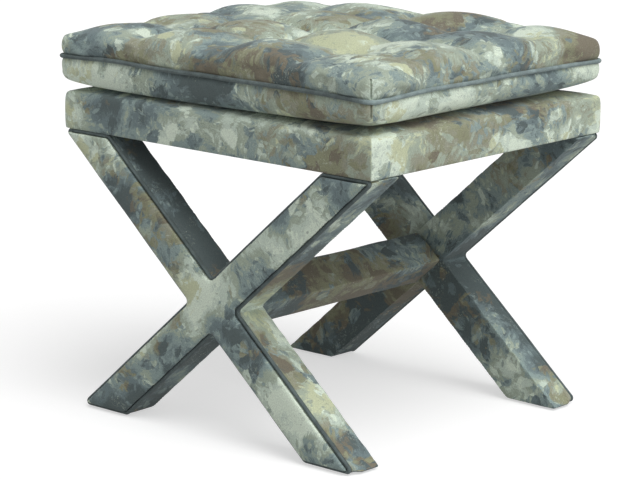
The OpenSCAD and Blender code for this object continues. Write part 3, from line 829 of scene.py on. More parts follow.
def cushion_body(form):
    """The closed cushion: a box split into a fine grid and moved into shape."""
    lift = form.sizes.corner_lift
    piece = fine_block("cushion", 15)
    points = points_of(piece)
    a, b, c = points.T
    top, base = c > 0.999, c < -0.999
    side = ~(top | base)
    shape = np.array(points)

    x, y = form.plan(a, b, RIM_INSET)
    z = form.welt_z + form.top_rise(x, y, a, b)
    shape[top] = np.stack([x, y, z], axis=1)[top]

    from_corner = np.hypot((1 - np.abs(a)) * form.half[0], (1 - np.abs(b)) * form.half[1])
    near = np.exp(-from_corner / CORNER_REACH)
    way = np.abs(c)
    for mask, table in (((c >= 0) & side, UPPER_SIDE), ((c < 0) & side, LOWER_SIDE)):
        share, height, inset = np.array(table).T
        inset = np.interp(way, share, inset) * MM
        height = np.interp(way, share, height) * MM
        if table is LOWER_SIDE:
            height *= 1 - near * lift / DEPTH_BELOW
            height += sitting(a, b) * way ** 2
            inset *= 1 - 0.6 * near
        x, y = form.plan(a, b, inset)
        shape[mask] = np.stack([x, y, form.welt_z + height], axis=1)[mask]

    # The underside starts at the lower edge of the sides and settles onto the box
    x, y = form.plan(a, b, TUCK * (1 - 0.6 * near))
    inward = np.maximum(np.minimum(*form.to_edges(x, y, a, b, TUCK)), 0)
    rest = box_top(x, y) + 0.6 * MM
    start = form.welt_z - DEPTH_BELOW + lift * near + sitting(a, b) - rest
    fall = np.exp(-(inward / (15 * MM + 19 * MM * near)) ** 2)
    shape[base] = np.stack([x, y, rest + np.maximum(start, 0) * fall], axis=1)[base]
    near_seam = np.exp(-np.abs(shape[:, 2] - form.welt_z) / (20 * MM))
    shape[:, 2] += form.wave(shape[:, 0], shape[:, 1]) * near_seam
    set_points(piece, shape)
    face_outwards(piece)
    mark_corner_seams(piece, form)
    return piece


def mark_corner_seams(piece, form):
    """Marks the upright edges at the four corners, where the darts are sewn."""
    def upright(p, q):
        gaps = [(form.half[0] - abs(w.x), form.half[1] - abs(w.y)) for w in (p, q)]
        return abs(p.z - q.z) > 1 * MM and all(
            gap_x < CUSHION_CORNER and abs(gap_x - gap_y) < 0.3 * MM for gap_x, gap_y in gaps)

    select_edges(piece, upright)
    bpy.ops.mesh.mark_seam(clear=False)
    leave_edit()


def puff_up(piece, form):
    """Cloth simulation: air pressure inside, with the seam, the tufts and the underside held."""
    start = points_of(piece)
    height = start[:, 2] - form.welt_z
    held = (np.abs(height) < HELD_AT_WELT) | (height < -HELD_BELOW)
    for a, b in form.tuft_places():
        gap = np.hypot(start[:, 0] - a * form.half[0], start[:, 1] - b * form.half[1])
        held |= (gap < HELD_AT_TUFT) & (height > 0)
    pins = piece.vertex_groups.new(name="held")
    pins.add([int(i) for i in np.nonzero(held)[0]], 1.0, "REPLACE")
    cloth = piece.modifiers.new("Cloth", "CLOTH")
    for key, value in CLOTH_SETTINGS.items():
        setattr(cloth.settings, key, value)
    cloth.settings.vertex_group_mass = pins.name
    cloth.settings.effector_weights.gravity = 0
    cloth.collision_settings.use_collision = False
    cloth.collision_settings.use_self_collision = False
    cloth.point_cache.frame_start = 1
    cloth.point_cache.frame_end = CLOTH_FRAMES
    scene = bpy.context.scene
    for number in range(1, CLOTH_FRAMES + 1):
        scene.frame_set(number)
    take(piece)
    bpy.ops.object.modifier_apply(modifier=cloth.name)
    scene.frame_set(1)

    # No point moves further than the cloth's reach, and less near the corners
    moved = points_of(piece) - start
    distance = np.linalg.norm(moved, axis=1)
    dx, dy = form.half[0] - np.abs(start[:, 0]), form.half[1] - np.abs(start[:, 1])
    free = 0.25 + 0.75 * smooth_step(10 * MM, 45 * MM, np.hypot(dx, dy))
    moved *= (free * np.minimum(1, CLOTH_REACH / np.maximum(distance, 1e-9)))[:, None]
    set_points(piece, start + moved)
    piece.vertex_groups.clear()


def sew_darts(piece, form):
    """Stitched darts at the upright corners: a narrow valley above and below the welt."""
    seam = np.array([e.vertices for e in piece.data.edges if e.use_seam]).ravel()
    lines = points_of(piece)[np.unique(seam)]

    def off_welt(p, q):
        return 3 * MM < max(abs(w.z - form.welt_z) for w in (p, q)) < 34 * MM

    round_edges(piece, off_welt, 1.1 * MM, 2, seams_only=True)
    points = points_of(piece)
    height = points[:, 2] - form.welt_z
    long_way = smooth_step(1 * MM, 5 * MM, height) * smooth_step(30 * MM, 24 * MM, height)
    short_way = smooth_step(-1 * MM, -5 * MM, height) * smooth_step(-22 * MM, -17 * MM, height)
    strength = np.where(height > 0, long_way, 0.8 * short_way)
    for sx, sy in ((-1, -1), (-1, 1), (1, -1), (1, 1)):
        line = lines[(lines[:, 0] * sx > 0) & (lines[:, 1] * sy > 0)]
        line_x, line_y, line_z = line[np.argsort(line[:, 2])].T
        gap = np.hypot(points[:, 0] - np.interp(points[:, 2], line_z, line_x),
                       points[:, 1] - np.interp(points[:, 2], line_z, line_y))
        slit = 3.6 * MM * (gap < 0.8 * MM)
        pucker = 1.8 * MM * np.exp(-(gap / (4.5 * MM)) ** 2)
        push = (slit + pucker) * strength / math.sqrt(2)
        points[:, 0] -= sx * push
        points[:, 1] -= sy * push
    set_points(piece, points)


def cushion_cloth(form):
    """Panel placing: the top runs down over the sides, the underside is cut apart."""
    rim = form.welt_z + 24 * MM

    def place(points, centres, normals):
        upper = centres[:, 2] > form.welt_z
        drop = np.maximum(rim - points[:, 2], 0)
        rise = np.maximum(points[:, 2] - BELLY_LOW.z, 0)
        run = np.where(upper, drop, rise)
        over_x = form.half[0] - np.abs(centres[:, 0]) < form.half[1] - np.abs(centres[:, 1])
        u = points[:, 0] + np.sign(points[:, 0]) * np.where(over_x, run, 0)
        v = points[:, 1] + np.sign(points[:, 1]) * np.where(over_x, 0, run)
        cut_above, cut_below = cut_piece(u, v, (0.9, 1.4), 24), cut_piece(u, v, (3.2, 2.1), -35)
        return [np.where(upper, above, below) for above, below in zip(cut_above, cut_below)]

    return place


class OTTOMAN_OT_cushion(bpy.types.Operator):
    """Makes the tufted cushion and puffs it up"""
    bl_idname = "ottoman.cushion"
    bl_label = "Cushion"

    def execute(self, context):
        form = CushionForm(context.scene.ottoman_sizes)
        piece = cushion_body(form)
        puff_up(piece, form)
        subdivide_smooth(piece)
        sew_darts(piece, form)
        set_points(piece, points_of(piece) + np.array(CUSHION_SHIFT))
        smooth_faces(piece, 70)
        lay_cloth(piece, cushion_cloth(form))
        # Painted shade: the cloth is made slightly darker, the underside more than the top
        paint_light_and_shade(piece, lambda centres, normals: np.where(centres[:, 2] > form.welt_z, -0.05, -0.08))
        dress(piece, "print_fabric",
              ("cushion_top_cover", "cushion_bottom_cover", "cushion_fill", "cushion_foam"), 0.75)
        return {"FINISHED"}


# Welts

def welt_tube(name, path, diameter, sides=12):
    """Closed round welt along a closed path."""
    curve = bpy.data.curves.new(name, "CURVE")
    curve.dimensions = "3D"
    spline = curve.splines.new("POLY")
    spline.points.add(len(path) - 1)
    for point, place in zip(spline.points, path):
        point.co = (*place, 1)
    spline.use_cyclic_u = True
    curve.bevel_depth = diameter / 2
    curve.bevel_resolution = sides // 4
    curve.twist_mode = "MINIMUM"
    piece = bpy.data.objects.new(name, curve)
    bpy.context.collection.objects.link(piece)
    take(piece)
    bpy.ops.object.convert(target="MESH")
    piece = bpy.context.object
    face_outwards(piece)
    smooth_faces(piece, 80)
    return name_piece(piece, name)


class OTTOMAN_OT_cushion_welt(bpy.types.Operator):
    """Makes the welt round the cushion"""
    bl_idname = "ottoman.cushion_welt"
    bl_label = "Cushion welt"

    def execute(self, context):
        form = CushionForm(context.scene.ottoman_sizes)
        steps = 90
        shares = np.linspace(-1, 1, steps, endpoint=False)
        ones = np.ones(steps)
        a = np.concatenate([shares, ones, -shares, -ones])
        b = np.concatenate([-ones, shares, ones, -shares])
        x, y = form.plan(a, b, form.welt_d / 2 - 1.2 * MM)
        z = form.welt_z + form.wave(x, y)
        path = list(zip(x + CUSHION_SHIFT[0], y + CUSHION_SHIFT[1], z))
        piece = welt_tube("cushion_welt_cord", path, form.welt_d, 16)
        # Painted light and shade: the welt is made darker, and lighter along the right side, where the
        # light falls
        painted_light_start = form.half[0] - 40 * MM
        paint_light_and_shade(piece, lambda centres, normals: (
            -0.22 + 0.75 * smooth_step(painted_light_start, form.half[0], centres[:, 0])))
        dress(piece, "welt_fabric", ("cushion_welt",))
        return {"FINISHED"}


# Seat box

# The soft shoulder, where the sides turn into the crowned top
SHOULDER_RISE = 47.8 * MM
SHOULDER_INSET = 4.2 * MM

# Side profile: share of the way, height above the lower edge and inset in mm
BOX_SIDE = (
    (-1, 0, 0.6), (-0.75, 0.4, -0.5), (-0.5, 1.2, -1.0), (-0.25, 9, -1.5), (0, 18, -1.6),
    (0.25, 27, -1.6), (0.5, 39, -1.5), (0.75, 45.4, -0.5), (1, SHOULDER_RISE / MM, 2.8))

# Where each side's panel is cut from the cloth and its turn: right, left, rear, front
BOX_PANELS = (((6.1, 0.7), 12), ((7.3, 1.9), -20), ((8.2, 0.4), 5), ((5.4, 2.6), 8))


def box_top(x, y):
    """Height of the crowned top of the seat box."""
    inward = np.minimum(SEAT_HIGH.x - np.abs(x), SEAT_HIGH.y - np.abs(y)) - SHOULDER_INSET
    shoulder = SEAT_LOW.z + SHOULDER_RISE
    return shoulder + (SEAT_HIGH.z - shoulder) * swelling(inward, 75 * MM, 2.2)


def seat_body():
    """Padded seat box: upright sides, a soft shoulder and a crowned top."""
    piece = fine_block("seat_box_cover", 7)
    a, b, c = points_of(piece).T
    base = SEAT_LOW.z
    levels, heights, insets = np.array(BOX_SIDE).T
    inset = np.interp(c, levels, insets) * MM
    x, y = a * (SEAT_HIGH.x - inset), b * (SEAT_HIGH.y - inset)
    z = np.where(c > 0.999, box_top(x, y), base + np.interp(c, levels, heights) * MM)
    set_points(piece, np.stack([x, y, z], axis=1))
    face_outwards(piece)

    def upright(p, q):
        return abs(p.z - q.z) > 0.3 * MM and all(
            SEAT_HIGH.x - abs(w.x) < 6 * MM and SEAT_HIGH.y - abs(w.y) < 6 * MM for w in (p, q))

    round_edges(piece, upright, 1.6 * MM, 2)
    subdivide_smooth(piece)
    points = points_of(piece)
    height = points[:, 2]
    push = ripple(points, 60 * MM, 3) * 0.9 * MM + ripple(points, 22 * MM, 5) * 0.25 * MM
    low = smooth_step(base + 26 * MM, base + 3 * MM, height)
    push += low * ripple(points * (1, 1, 0.2), 13 * MM, 9) * 0.5 * MM
    push *= smooth_step(base, base + 2 * MM, height)
    set_points(piece, points + normals_of(piece) * push[:, None])
    return piece


def seat_cloth(points, centres, normals):
    """Four panels that run up the sides and over the top to the mitred corners."""
    on_x = SEAT_HIGH.x - np.abs(centres[:, 0]) < SEAT_HIGH.y - np.abs(centres[:, 1])
    over_x = SEAT_HIGH.x - np.abs(points[:, 0])
    over_y = SEAT_HIGH.y - np.abs(points[:, 1])
    u = np.where(on_x, points[:, 1], points[:, 0])
    v = points[:, 2] + np.where(on_x, over_x, over_y)
    which = np.where(on_x, np.where(centres[:, 0] > 0, 0, 1), np.where(centres[:, 1] > 0, 2, 3))
    made = np.zeros((2, len(u)))
    for number, (start, turn) in enumerate(BOX_PANELS):
        made = np.where(which == number, cut_piece(u, v, start, turn), made)
    return made


class OTTOMAN_OT_seat_box(bpy.types.Operator):
    """Makes the padded cover of the seat box"""
    bl_idname = "ottoman.seat_box"
    bl_label = "Seat box cover"

    def execute(self, context):
        piece = seat_body()
        below, lip = SEAT_LOW.z - 10 * MM, 20 * MM
        hollow = block(
            "hollow", (RAIL_LOW.x, RAIL_LOW.y, below), (-RAIL_LOW.x, -RAIL_LOW.y, DECK_TOP))
        mouth = block("mouth", (SEAT_LOW.x + lip, SEAT_LOW.y + lip, below),
                      (SEAT_HIGH.x - lip, SEAT_HIGH.y - lip, DECK_TOP - 5 * MM))
        for point in hollow.data.vertices:
            if point.co.z < SEAT_LOW.z:
                point.co.z = RAIL_LOW.z
        combine(piece, hollow, "DIFFERENCE")
        combine(piece, mouth, "DIFFERENCE")
        smooth_faces(piece, 50)
        lay_cloth(piece, seat_cloth)
        # Painted light: the right side, where the light falls, is made lighter
        paint_light_and_shade(piece, lambda centres, normals: 0.06 * (normals[:, 0] > 0.5))
        dress(piece, "print_fabric", ("seat_cover", "seat_wadding", "deck_foam"), 0.9)
        return {"FINISHED"}


# X frames

# Thickness of cover and wadding on the timber, the place of the seam behind the face, and the
# least radius of a corner inside the cover
PADDING = 5.3 * MM
FACE_SEAM = 4.2 * MM
LEAST_RADIUS = 0.8 * MM

# Sizes of the grid cells that the face panels and the wrap covers are made from
FACE_CELL = 4 * MM
WRAP_CELL = 3 * MM


class FrameForm:
    """Outline of an X frame, in X and Z."""

    def __init__(self, sizes, crisp=False):
        self.top = SEAT_LOW.z - 0.6 * MM
        self.foot = ARM_LOW.z
        self.half_top = SEAT_HIGH.x + sizes.arm_reach
        self.half_foot = SEAT_HIGH.x - sizes.foot_inset
        self.width = sizes.arm_width
        self.lean = (self.half_top + self.half_foot - self.width) / (self.top - self.foot)
        self.cross = self.top - (self.half_top - self.width / 2) / self.lean
        self.front = SEAT_LOW.y
        self.depth = ARM_HIGH.y - SEAT_LOW.y
        self.tip_r = (1.5 if crisp else 4.5) * MM
        self.upper_tip_r = (1.5 if crisp else 4.2) * MM
        self.heel_r = 7 * MM
        self.side_crotch_r = (1.5 if crisp else 6) * MM
        self.crotch_r = (1.5 if crisp else 5) * MM
        self.half_angle = math.atan(1 / self.lean) / 2

    def level(self, inset):
        """An inset measured level."""
        return inset * math.hypot(1, self.lean)

    def falling(self, z):
        """Middle of the arm that falls towards +X, at a height."""
        return -self.half_top + self.width / 2 + (self.top - z) * self.lean

    def outline(self, inset, steps=8):
        """Points of the outline, rounded at its twelve corners."""
        top, base = self.top - inset, self.foot + inset
        side = self.width / 2 - self.level(inset)
        rise = side / self.lean
        tip, upper = (max(r - inset, LEAST_RADIUS) for r in (self.tip_r, self.upper_tip_r))
        heel = self.heel_r - inset
        crotch, wide = self.crotch_r + inset, self.side_crotch_r + inset

        def left(z):
            return self.falling(z) - side

        def right(z):
            return self.falling(z) + side

        corners = [
            ((left(top), top), upper), ((right(top), top), heel), ((0, self.cross + rise), crotch),
            ((-right(top), top), heel), ((-left(top), top), upper), ((side, self.cross), wide),
            ((right(base), base), tip), ((left(base), base), heel), ((0, self.cross - rise), crotch),
            ((-left(base), base), heel), ((-right(base), base), tip), ((-side, self.cross), wide)]
        path = []
        for i, (corner, radius) in enumerate(corners):
            before, after = corners[i - 1][0], corners[(i + 1) % len(corners)][0]
            path += corner_arc(before, corner, after, radius, steps)
        return path


def corner_arc(before, corner, after, radius, steps):
    """Points of the arc that rounds one corner of a path."""
    b = Vector(corner)
    u = (Vector(before) - b).normalized()
    w = (Vector(after) - b).normalized()
    half = u.angle(w) / 2
    centre = b + (u + w).normalized() * radius / math.sin(half)
    start = b + u * radius / math.tan(half) - centre
    end = b + w * radius / math.tan(half) - centre
    sweep = math.pi - 2 * half
    if start.x * end.y - start.y * end.x < 0:
        sweep = -sweep
    arc = []
    for k in range(steps + 1):
        c, s = math.cos(sweep * k / steps), math.sin(sweep * k / steps)
        arc.append((centre.x + start.x * c - start.y * s, centre.y + start.x * s + start.y * c))
    return arc


def even_path(path, step):
    """Adds points on long runs, so that no run is longer than a step."""
    made = []
    for i, start in enumerate(path):
        end = path[(i + 1) % len(path)]
        parts = max(1, math.ceil(math.dist(start, end) / step))
        for k in range(parts):
            t = k / parts
            made.append((start[0] + (end[0] - start[0]) * t, start[1] + (end[1] - start[1]) * t))
    return made


def nearest_side(outline, points):
    """Depth of points inside an outline, and the way out to its nearest side."""
    x, z = points[:, 0], points[:, 2]
    start = np.array(outline)
    way = np.roll(start, -1, axis=0) - start
    lengths = np.hypot(way[:, 0], way[:, 1])
    turn = np.sign((start[:, 0] * way[:, 1] - start[:, 1] * way[:, 0]).sum())
    depth = np.full(len(x), 1e9)
    out = np.zeros((len(x), 2))
    for s, w, n in zip(start, way, lengths):
        if n < 0.001 * MM:
            continue
        face = turn * np.array([w[1], -w[0]]) / n
        t = np.clip(((x - s[0]) * w[0] + (z - s[1]) * w[1]) / n ** 2, 0, 1)
        gap = np.stack([s[0] + w[0] * t - x, s[1] + w[1] * t - z], axis=1)
        distance = np.hypot(gap[:, 0], gap[:, 1])
        sign = np.where(gap @ face >= 0, 1, -1)
        near = distance < np.abs(depth)
        depth = np.where(near, distance * sign, depth)
        straight = distance < 0.001 * MM
        course = np.where(straight[:, None], face, (gap.T * sign / np.maximum(distance, 1e-9)).T)
        out = np.where(near[:, None], course, out)
    return depth, out


def move_out(points, out, shift):
    """Moves points in the plane of the frame."""
    points[:, 0] += out[:, 0] * shift
    points[:, 2] += out[:, 1] * shift


def crisp_edge(points, outline, y_edge, reach):
    """Moves the softened points near the edge at y_edge back out to a crisp one."""
    depth, out = nearest_side(outline, points)
    p = np.clip(1 - depth / reach, 0, 1)
    q = np.clip(1 - (y_edge - points[:, 1]) / reach, 0, 1)
    share = np.maximum((p ** 6 + q ** 6) ** (1 / 6), 1e-6)
    grow = np.where((p > 0) & (q > 0), np.hypot(p, q) / share, 1)
    limit = np.minimum(grow, np.minimum(1 / np.maximum(p, 1e-6), 1 / np.maximum(q, 1e-6)))
    move_out(points, out, p * (limit - 1) * reach)
    points[:, 1] += q * (limit - 1) * reach
    return points


def arm_block(form, inset, front, back, way):
    """One arm as a leaning block with rounded ends. way is 1 for falling and -1 for rising."""
    half = form.width / 2 - form.level(inset)
    middle_z = (form.top + form.foot) / 2
    piece = block("arm", (-half, front, form.foot + inset), (half, back, form.top - inset))
    for point in piece.data.vertices:
        point.co.x = way * (point.co.x + form.falling(point.co.z))
    if way < 0:
        face_outwards(piece)

    def corner(sharp, *ends):
        """Picks the edges through the depth at the sharp or the blunt corners of some ends."""
        def test(p, q):
            upper = p.z > middle_z
            side = way * p.x - form.falling(p.z)
            return (abs(p.y - q.y) > 0.5 * (back - front) and ("top" if upper else "foot") in ends
                    and (side < 0 if upper else side > 0) == sharp)
        return test

    slant = math.tan(form.half_angle)
    tip, upper_tip = (max(r - inset, LEAST_RADIUS) / slant for r in (form.tip_r, form.upper_tip_r))
    round_edges(piece, corner(True, "foot"), tip, 8)
    round_edges(piece, corner(True, "top"), upper_tip, 6)
    round_edges(piece, corner(False, "foot", "top"), (form.heel_r - inset) * slant, 3)
    return piece


def x_block(name, form, inset, front, back):
    """Both arms joined into one X, with its four crotches rounded."""
    piece = arm_block(form, inset, front, back, 1)
    combine(piece, arm_block(form, inset, front, back, -1), "UNION")
    face_outwards(piece)
    side = form.width / 2 - form.level(inset)

    def crotch(place_x, place_z):
        def test(p, q):
            return abs(p.y - q.y) > 0.5 * (back - front) and all(
                abs(abs(w.x) - place_x) < 0.5 * MM and abs(abs(w.z - form.cross) - place_z) < 0.5 * MM
                for w in (p, q))
        return test

    half_side = math.atan(1 / form.lean)
    half_up = math.pi / 2 - half_side
    round_edges(piece, crotch(side, 0), (form.side_crotch_r + inset) / math.tan(half_side), 6)
    round_edges(piece, crotch(0, side / form.lean), (form.crotch_r + inset) / math.tan(half_up), 4)
    return name_piece(piece, name)


def face_panel(form, crown):
    """Padded outer panel of the front frame, which swells out over its welt."""
    lip = 2.2 * MM
    piece = x_block("front_face_panel", form, lip, form.front, form.front + 20 * MM)
    remesh(piece, FACE_CELL)
    relax(piece)
    subdivide_smooth(piece)
    points = points_of(piece)
    depth, out = nearest_side(form.outline(lip), points)
    front = smooth_step(form.front + 7 * MM, form.front + 1 * MM, points[:, 1])
    bead = 0.62 * swelling(depth, 3 * MM, 2) ** 0.5
    dome = 0.38 * swelling(depth, 18 * MM, 2.2)
    push = crown * (0.15 + 0.85 * (bead + dome))
    push += (ripple(points, 60 * MM, 11) * 0.7 + ripple(points, 22 * MM, 13) * 0.25) * MM * bead
    points[:, 1] -= push * front
    tuck = 2.6 * MM * smooth_step(form.front - 2.4 * MM, form.front - 0.8 * MM, points[:, 1])
    move_out(points, out, -tuck * smooth_step(4 * MM, 1 * MM, depth))
    set_points(piece, points)
    cut_behind(piece, form.front + FACE_SEAM, True)
    smooth_faces(piece, 60)
    return piece


def wrap_cover(form, crisp):
    """Cover of the sides and the inner face, hollow round the timber."""
    back = form.front + form.depth
    piece = x_block("front_wrap", crisp, 0, form.front - 12 * MM, back)
    remesh(piece, WRAP_CELL)
    relax(piece)
    points = crisp_edge(points_of(piece), crisp.outline(0), back, WRAP_CELL)
    push = (ripple(points, 50 * MM, 17) * 0.5 + ripple(points, 18 * MM, 19) * 0.15) * MM
    push += pleats(form, points) * MM
    points += normals_of(piece) * push[:, None]

    # Behind the welt the corners are as round as the welt's own
    sharp, _ = nearest_side(crisp.outline(0), points)
    rounded, out = nearest_side(form.outline(0), points)
    shift = (rounded - sharp) * smooth_step(form.front + 18 * MM, form.front + 5 * MM, points[:, 1])
    move_out(points, out, shift * (sharp < 2 * MM))
    set_points(piece, points)
    cut_behind(piece, form.front + FACE_SEAM, False)
    core = x_block("core", form, PADDING, form.front - 20 * MM, back - PADDING)
    combine(piece, core, "DIFFERENCE")
    smooth_faces(piece, 50)
    return piece


def pleats(form, points):
    """Folds of the wrap cover, fanned out at the four crotches."""
    x, z = points[:, 0], points[:, 2] - form.cross
    side, rise = form.width / 2, form.width / 2 / form.lean
    folds = np.zeros(len(x))
    for number, (px, pz) in enumerate(((side, 0), (-side, 0), (0, rise), (0, -rise))):
        gap = np.hypot(x - px, z - pz)
        fan = np.sin((points[:, 1] - form.front) / (5.5 * MM) + gap / (9 * MM) + number)
        folds += fan * np.exp(-(gap / (16 * MM)) ** 2) * 0.6
    return folds * smooth_step(form.front + 8 * MM, form.front + 16 * MM, points[:, 1])


def panel_cloth(start, turn):
    def place(points, centres, normals):
        return cut_piece(points[:, 0], points[:, 2], start, turn)
    return place


def wrap_cloth(form, start, turn):
    """One sheet: the inner face, with each side unfolded outwards from it."""
    edge = abs(form.front + form.depth)
    slope = math.hypot(1, form.lean)
    ways = np.array([(1 / slope, form.lean / slope), (1 / slope, -form.lean / slope), (0, 1)])
    ways = np.concatenate([ways, -ways])

    def place(points, centres, normals):
        out = ways[np.argmax(normals[:, [0, 2]] @ ways.T, axis=1)]
        drop = np.where(np.abs(normals[:, 1]) > 0.85, 0, np.maximum(np.abs(points[:, 1]) - edge, 0))
        return cut_piece(points[:, 0] + out[:, 0] * drop, points[:, 2] + out[:, 1] * drop, start, turn)
    return place


def frame_painted_shade(form, low, left, right):
    """Painted shade: how much lighter or darker the colour is made on the feet and on the raised arms,
    for the shade under the seat.
    """
    def tone(centres, normals):
        high = smooth_step(form.cross, form.cross + 60 * MM, centres[:, 2])
        return low + high * (np.where(centres[:, 0] < 0, left, right) - low)
    return tone


class OTTOMAN_OT_frame_covers(bpy.types.Operator):
    """Makes the face panels and the wrap covers of both X frames"""
    bl_idname = "ottoman.frame_covers"
    bl_label = "X frame covers"

    def execute(self, context):
        sizes = context.scene.ottoman_sizes
        form = FrameForm(sizes)
        panel = face_panel(form, sizes.panel_crown)
        wrap = wrap_cover(form, FrameForm(sizes, crisp=True))
        rear_panel = turned_copy(panel, "rear_face_panel")
        rear_wrap = turned_copy(wrap, "rear_wrap")

        # Piece, its place on the cloth, its painted shade on the feet, left and right arms, the nodes
        # it stands for and its fill
        for piece, place, painted_shades, nodes, fill in (
                (panel, panel_cloth((10.3, 1.1), 18), (0.01, -0.12, -0.13),
                 ("front_face_cover", "front_frame_wadding"), 0.8),
                (wrap, wrap_cloth(form, (14.2, 0.8), 4), (-0.30, -0.36, -0.22),
                 ("front_wrap_cover",), 0.9),
                (rear_panel, panel_cloth((12.4, 3.2), -25), (-0.04, -0.04, -0.04),
                 ("rear_face_cover", "rear_frame_wadding"), 0.8),
                (rear_wrap, wrap_cloth(form, (17.2, 5.1), -8), (-0.30, -0.26, -0.14),
                 ("rear_wrap_cover",), 0.9)):
            lay_cloth(piece, place)
            paint_light_and_shade(piece, frame_painted_shade(form, *painted_shades))
            dress(piece, "print_fabric", nodes, fill)
        return {"FINISHED"}


class OTTOMAN_OT_frame_welts(bpy.types.Operator):
    """Makes the welt round the outer face of each X frame"""
    bl_idname = "ottoman.frame_welts"
    bl_label = "X frame welts"

    def execute(self, context):
        form = FrameForm(context.scene.ottoman_sizes)
        diameter = FRAME_WELT_HIGH.y - FRAME_WELT_LOW.y
        y = (FRAME_WELT_LOW.y + FRAME_WELT_HIGH.y) / 2 + 0.4 * MM
        outline = even_path(form.outline(diameter / 2 - 0.9 * MM, 10), 5 * MM)
        shake = ripple([(x, 0, z) for x, z in outline], 40 * MM, 23) * 0.5 * MM
        path = [(x, y + s, z) for (x, z), s in zip(outline, shake)]
        welt = welt_tube("front_welt_cord", path, diameter)
        # Painted shade: the frame welts are made darker, for the shade beside the panels and under the
        # seat
        paint_light_and_shade(welt, lambda centres, normals: np.full(len(centres), -0.34))
        rear = turned_copy(welt, "rear_welt_cord")
        dress(welt, "welt_fabric", ("front_frame_welt",))
        dress(rear, "welt_fabric", ("rear_frame_welt",))
        return {"FINISHED"}


# Stretcher

def stretcher_bar(form, name, inset, front, back, radius):
    """Diamond bar between two places along Y."""
    clear_selection()
    side = form.width / 2 - form.level(inset)
    bpy.ops.mesh.primitive_cylinder_add(
        vertices=4, radius=1, depth=1, location=(0, (front + back) / 2, form.cross),
        rotation=(math.pi / 2, 0, 0))
    piece = size_piece(name, (side, side / form.lean, back - front))
    if np.abs(points_of(piece)[:, 0]).max() < 0.9 * side:
        raise RuntimeError("The stretcher's diamond came out turned")
    round_edges(piece, runs_along(1), radius / math.tan(math.atan(1 / form.lean)), 5)
    return piece


def stretcher_cloth(form):
    """Two halves of the cover, each unfolded from the bar's side corner."""
    slope = math.hypot(1, 1 / form.lean)

    def place(points, centres, normals):
        from_corner = (form.width / 2 - np.abs(points[:, 0])) * slope
        across = np.where(centres[:, 2] > form.cross, from_corner, -from_corner)
        across = across + np.where(centres[:, 0] > 0, 0, 0.6)
        return cut_piece(points[:, 1], across, (21.4, 5.3), 6)
    return place


class OTTOMAN_OT_stretcher(bpy.types.Operator):
    """Makes the padded cover of the diamond stretcher"""
    bl_idname = "ottoman.stretcher"
    bl_label = "Stretcher cover"

    def execute(self, context):
        form = FrameForm(context.scene.ottoman_sizes)
        piece = stretcher_bar(form, "stretcher_sleeve", 0, BAR_LOW.y, BAR_HIGH.y, 2 * MM)
        split_along(piece, 1, 79)
        subdivide_smooth(piece)
        points = points_of(piece)
        normals = normals_of(piece)
        height = points[:, 2] - form.cross

        # Soft waves, fuller faces, and gathers at both ends
        end = np.minimum(points[:, 1] - BAR_LOW.y, BAR_HIGH.y - points[:, 1])
        turn = np.arctan2(height * form.lean, points[:, 0])
        push = ripple(points, 40 * MM, 29) * 0.7 * MM + np.abs(np.sin(2 * turn)) * 0.8 * MM
        gathers = np.sin(turn * 17 + 2.2 * np.sin(turn * 3)) * np.exp(-end / (16 * MM))
        push += gathers * 0.8 * MM
        shift = normals * (push * (np.abs(normals[:, 1]) < 0.7))[:, None]
        shift[:, 1] = 0
        rise = form.width / 2 / form.lean
        shift[:, 2] -= 3 * MM * smooth_step(0.7 * rise, rise, height)
        shift[:, 2] -= 1.2 * MM * smooth_step(0, -rise, height)
        set_points(piece, points + shift)
        core = stretcher_bar(form, "core", PADDING, BAR_LOW.y - 5 * MM, BAR_HIGH.y + 5 * MM, 1 * MM)
        combine(piece, core, "DIFFERENCE")
        smooth_faces(piece, 50)
        lay_cloth(piece, stretcher_cloth(form))
        # Painted shade: the stretcher under the seat is made darker, its upper faces more than its
        # lower
        paint_light_and_shade(piece, lambda centres, normals: np.where(centres[:, 2] > form.cross, -0.52, -0.44))
        dress(piece, "print_fabric", ("stretcher_cover", "stretcher_wadding"), 0.9)
        return {"FINISHED"}


# Underside and inner parts

class OTTOMAN_OT_dust_cover(bpy.types.Operator):
    """Makes the dust cover under the seat"""
    bl_idname = "ottoman.dust_cover"
    bl_label = "Dust cover"

    def execute(self, context):
        clear_selection()
        size = DUST_HIGH - DUST_LOW
        bpy.ops.mesh.primitive_grid_add(
            x_subdivisions=62, y_subdivisions=52, size=1, location=(0, 0, DUST_HIGH.z))
        piece = size_piece("dust_cloth_sheet", (size.x, size.y, 1))
        points = points_of(piece)
        edge = np.minimum(DUST_HIGH.x - np.abs(points[:, 0]), DUST_HIGH.y - np.abs(points[:, 1]))
        sag = smooth_step(50 * MM, 110 * MM, edge) * 2.5 * MM
        crease = ripple(points, 30 * MM, 31) * 0.25 * MM * smooth_step(0, 20 * MM, edge)
        points[:, 2] -= sag - crease * smooth_step(50 * MM, 80 * MM, edge)
        set_points(piece, points)
        apply_modifier(piece, "SOLIDIFY", thickness=0.5 * MM, offset=-1)
        smooth_faces(piece, 40)
        dress(piece, "dust_cloth", ("dust_cover",))
        return {"FINISHED"}


class OTTOMAN_OT_inner_parts(bpy.types.Operator):
    """Gives the timber, steel, twine and glides their finishes"""
    bl_idname = "ottoman.inner_parts"
    bl_label = "Inner parts"

    def execute(self, context):
        slots = {row["node"]: row["material_slot"] for row in frame["record"]["subparts"]}
        for name, node in frame["nodes"].items():
            for slot in node.material_slots:
                slot.material = FINISHES[slots[name]]
        return {"FINISHED"}


# Stage

CAMERA_PLACE = (2.3091, -2.5720, 0.9769)
CAMERA_YAW = 42.16
CAMERA_PITCH = -12.42
CAMERA_ROLL = 0.21
CAMERA_LENS = 157.71

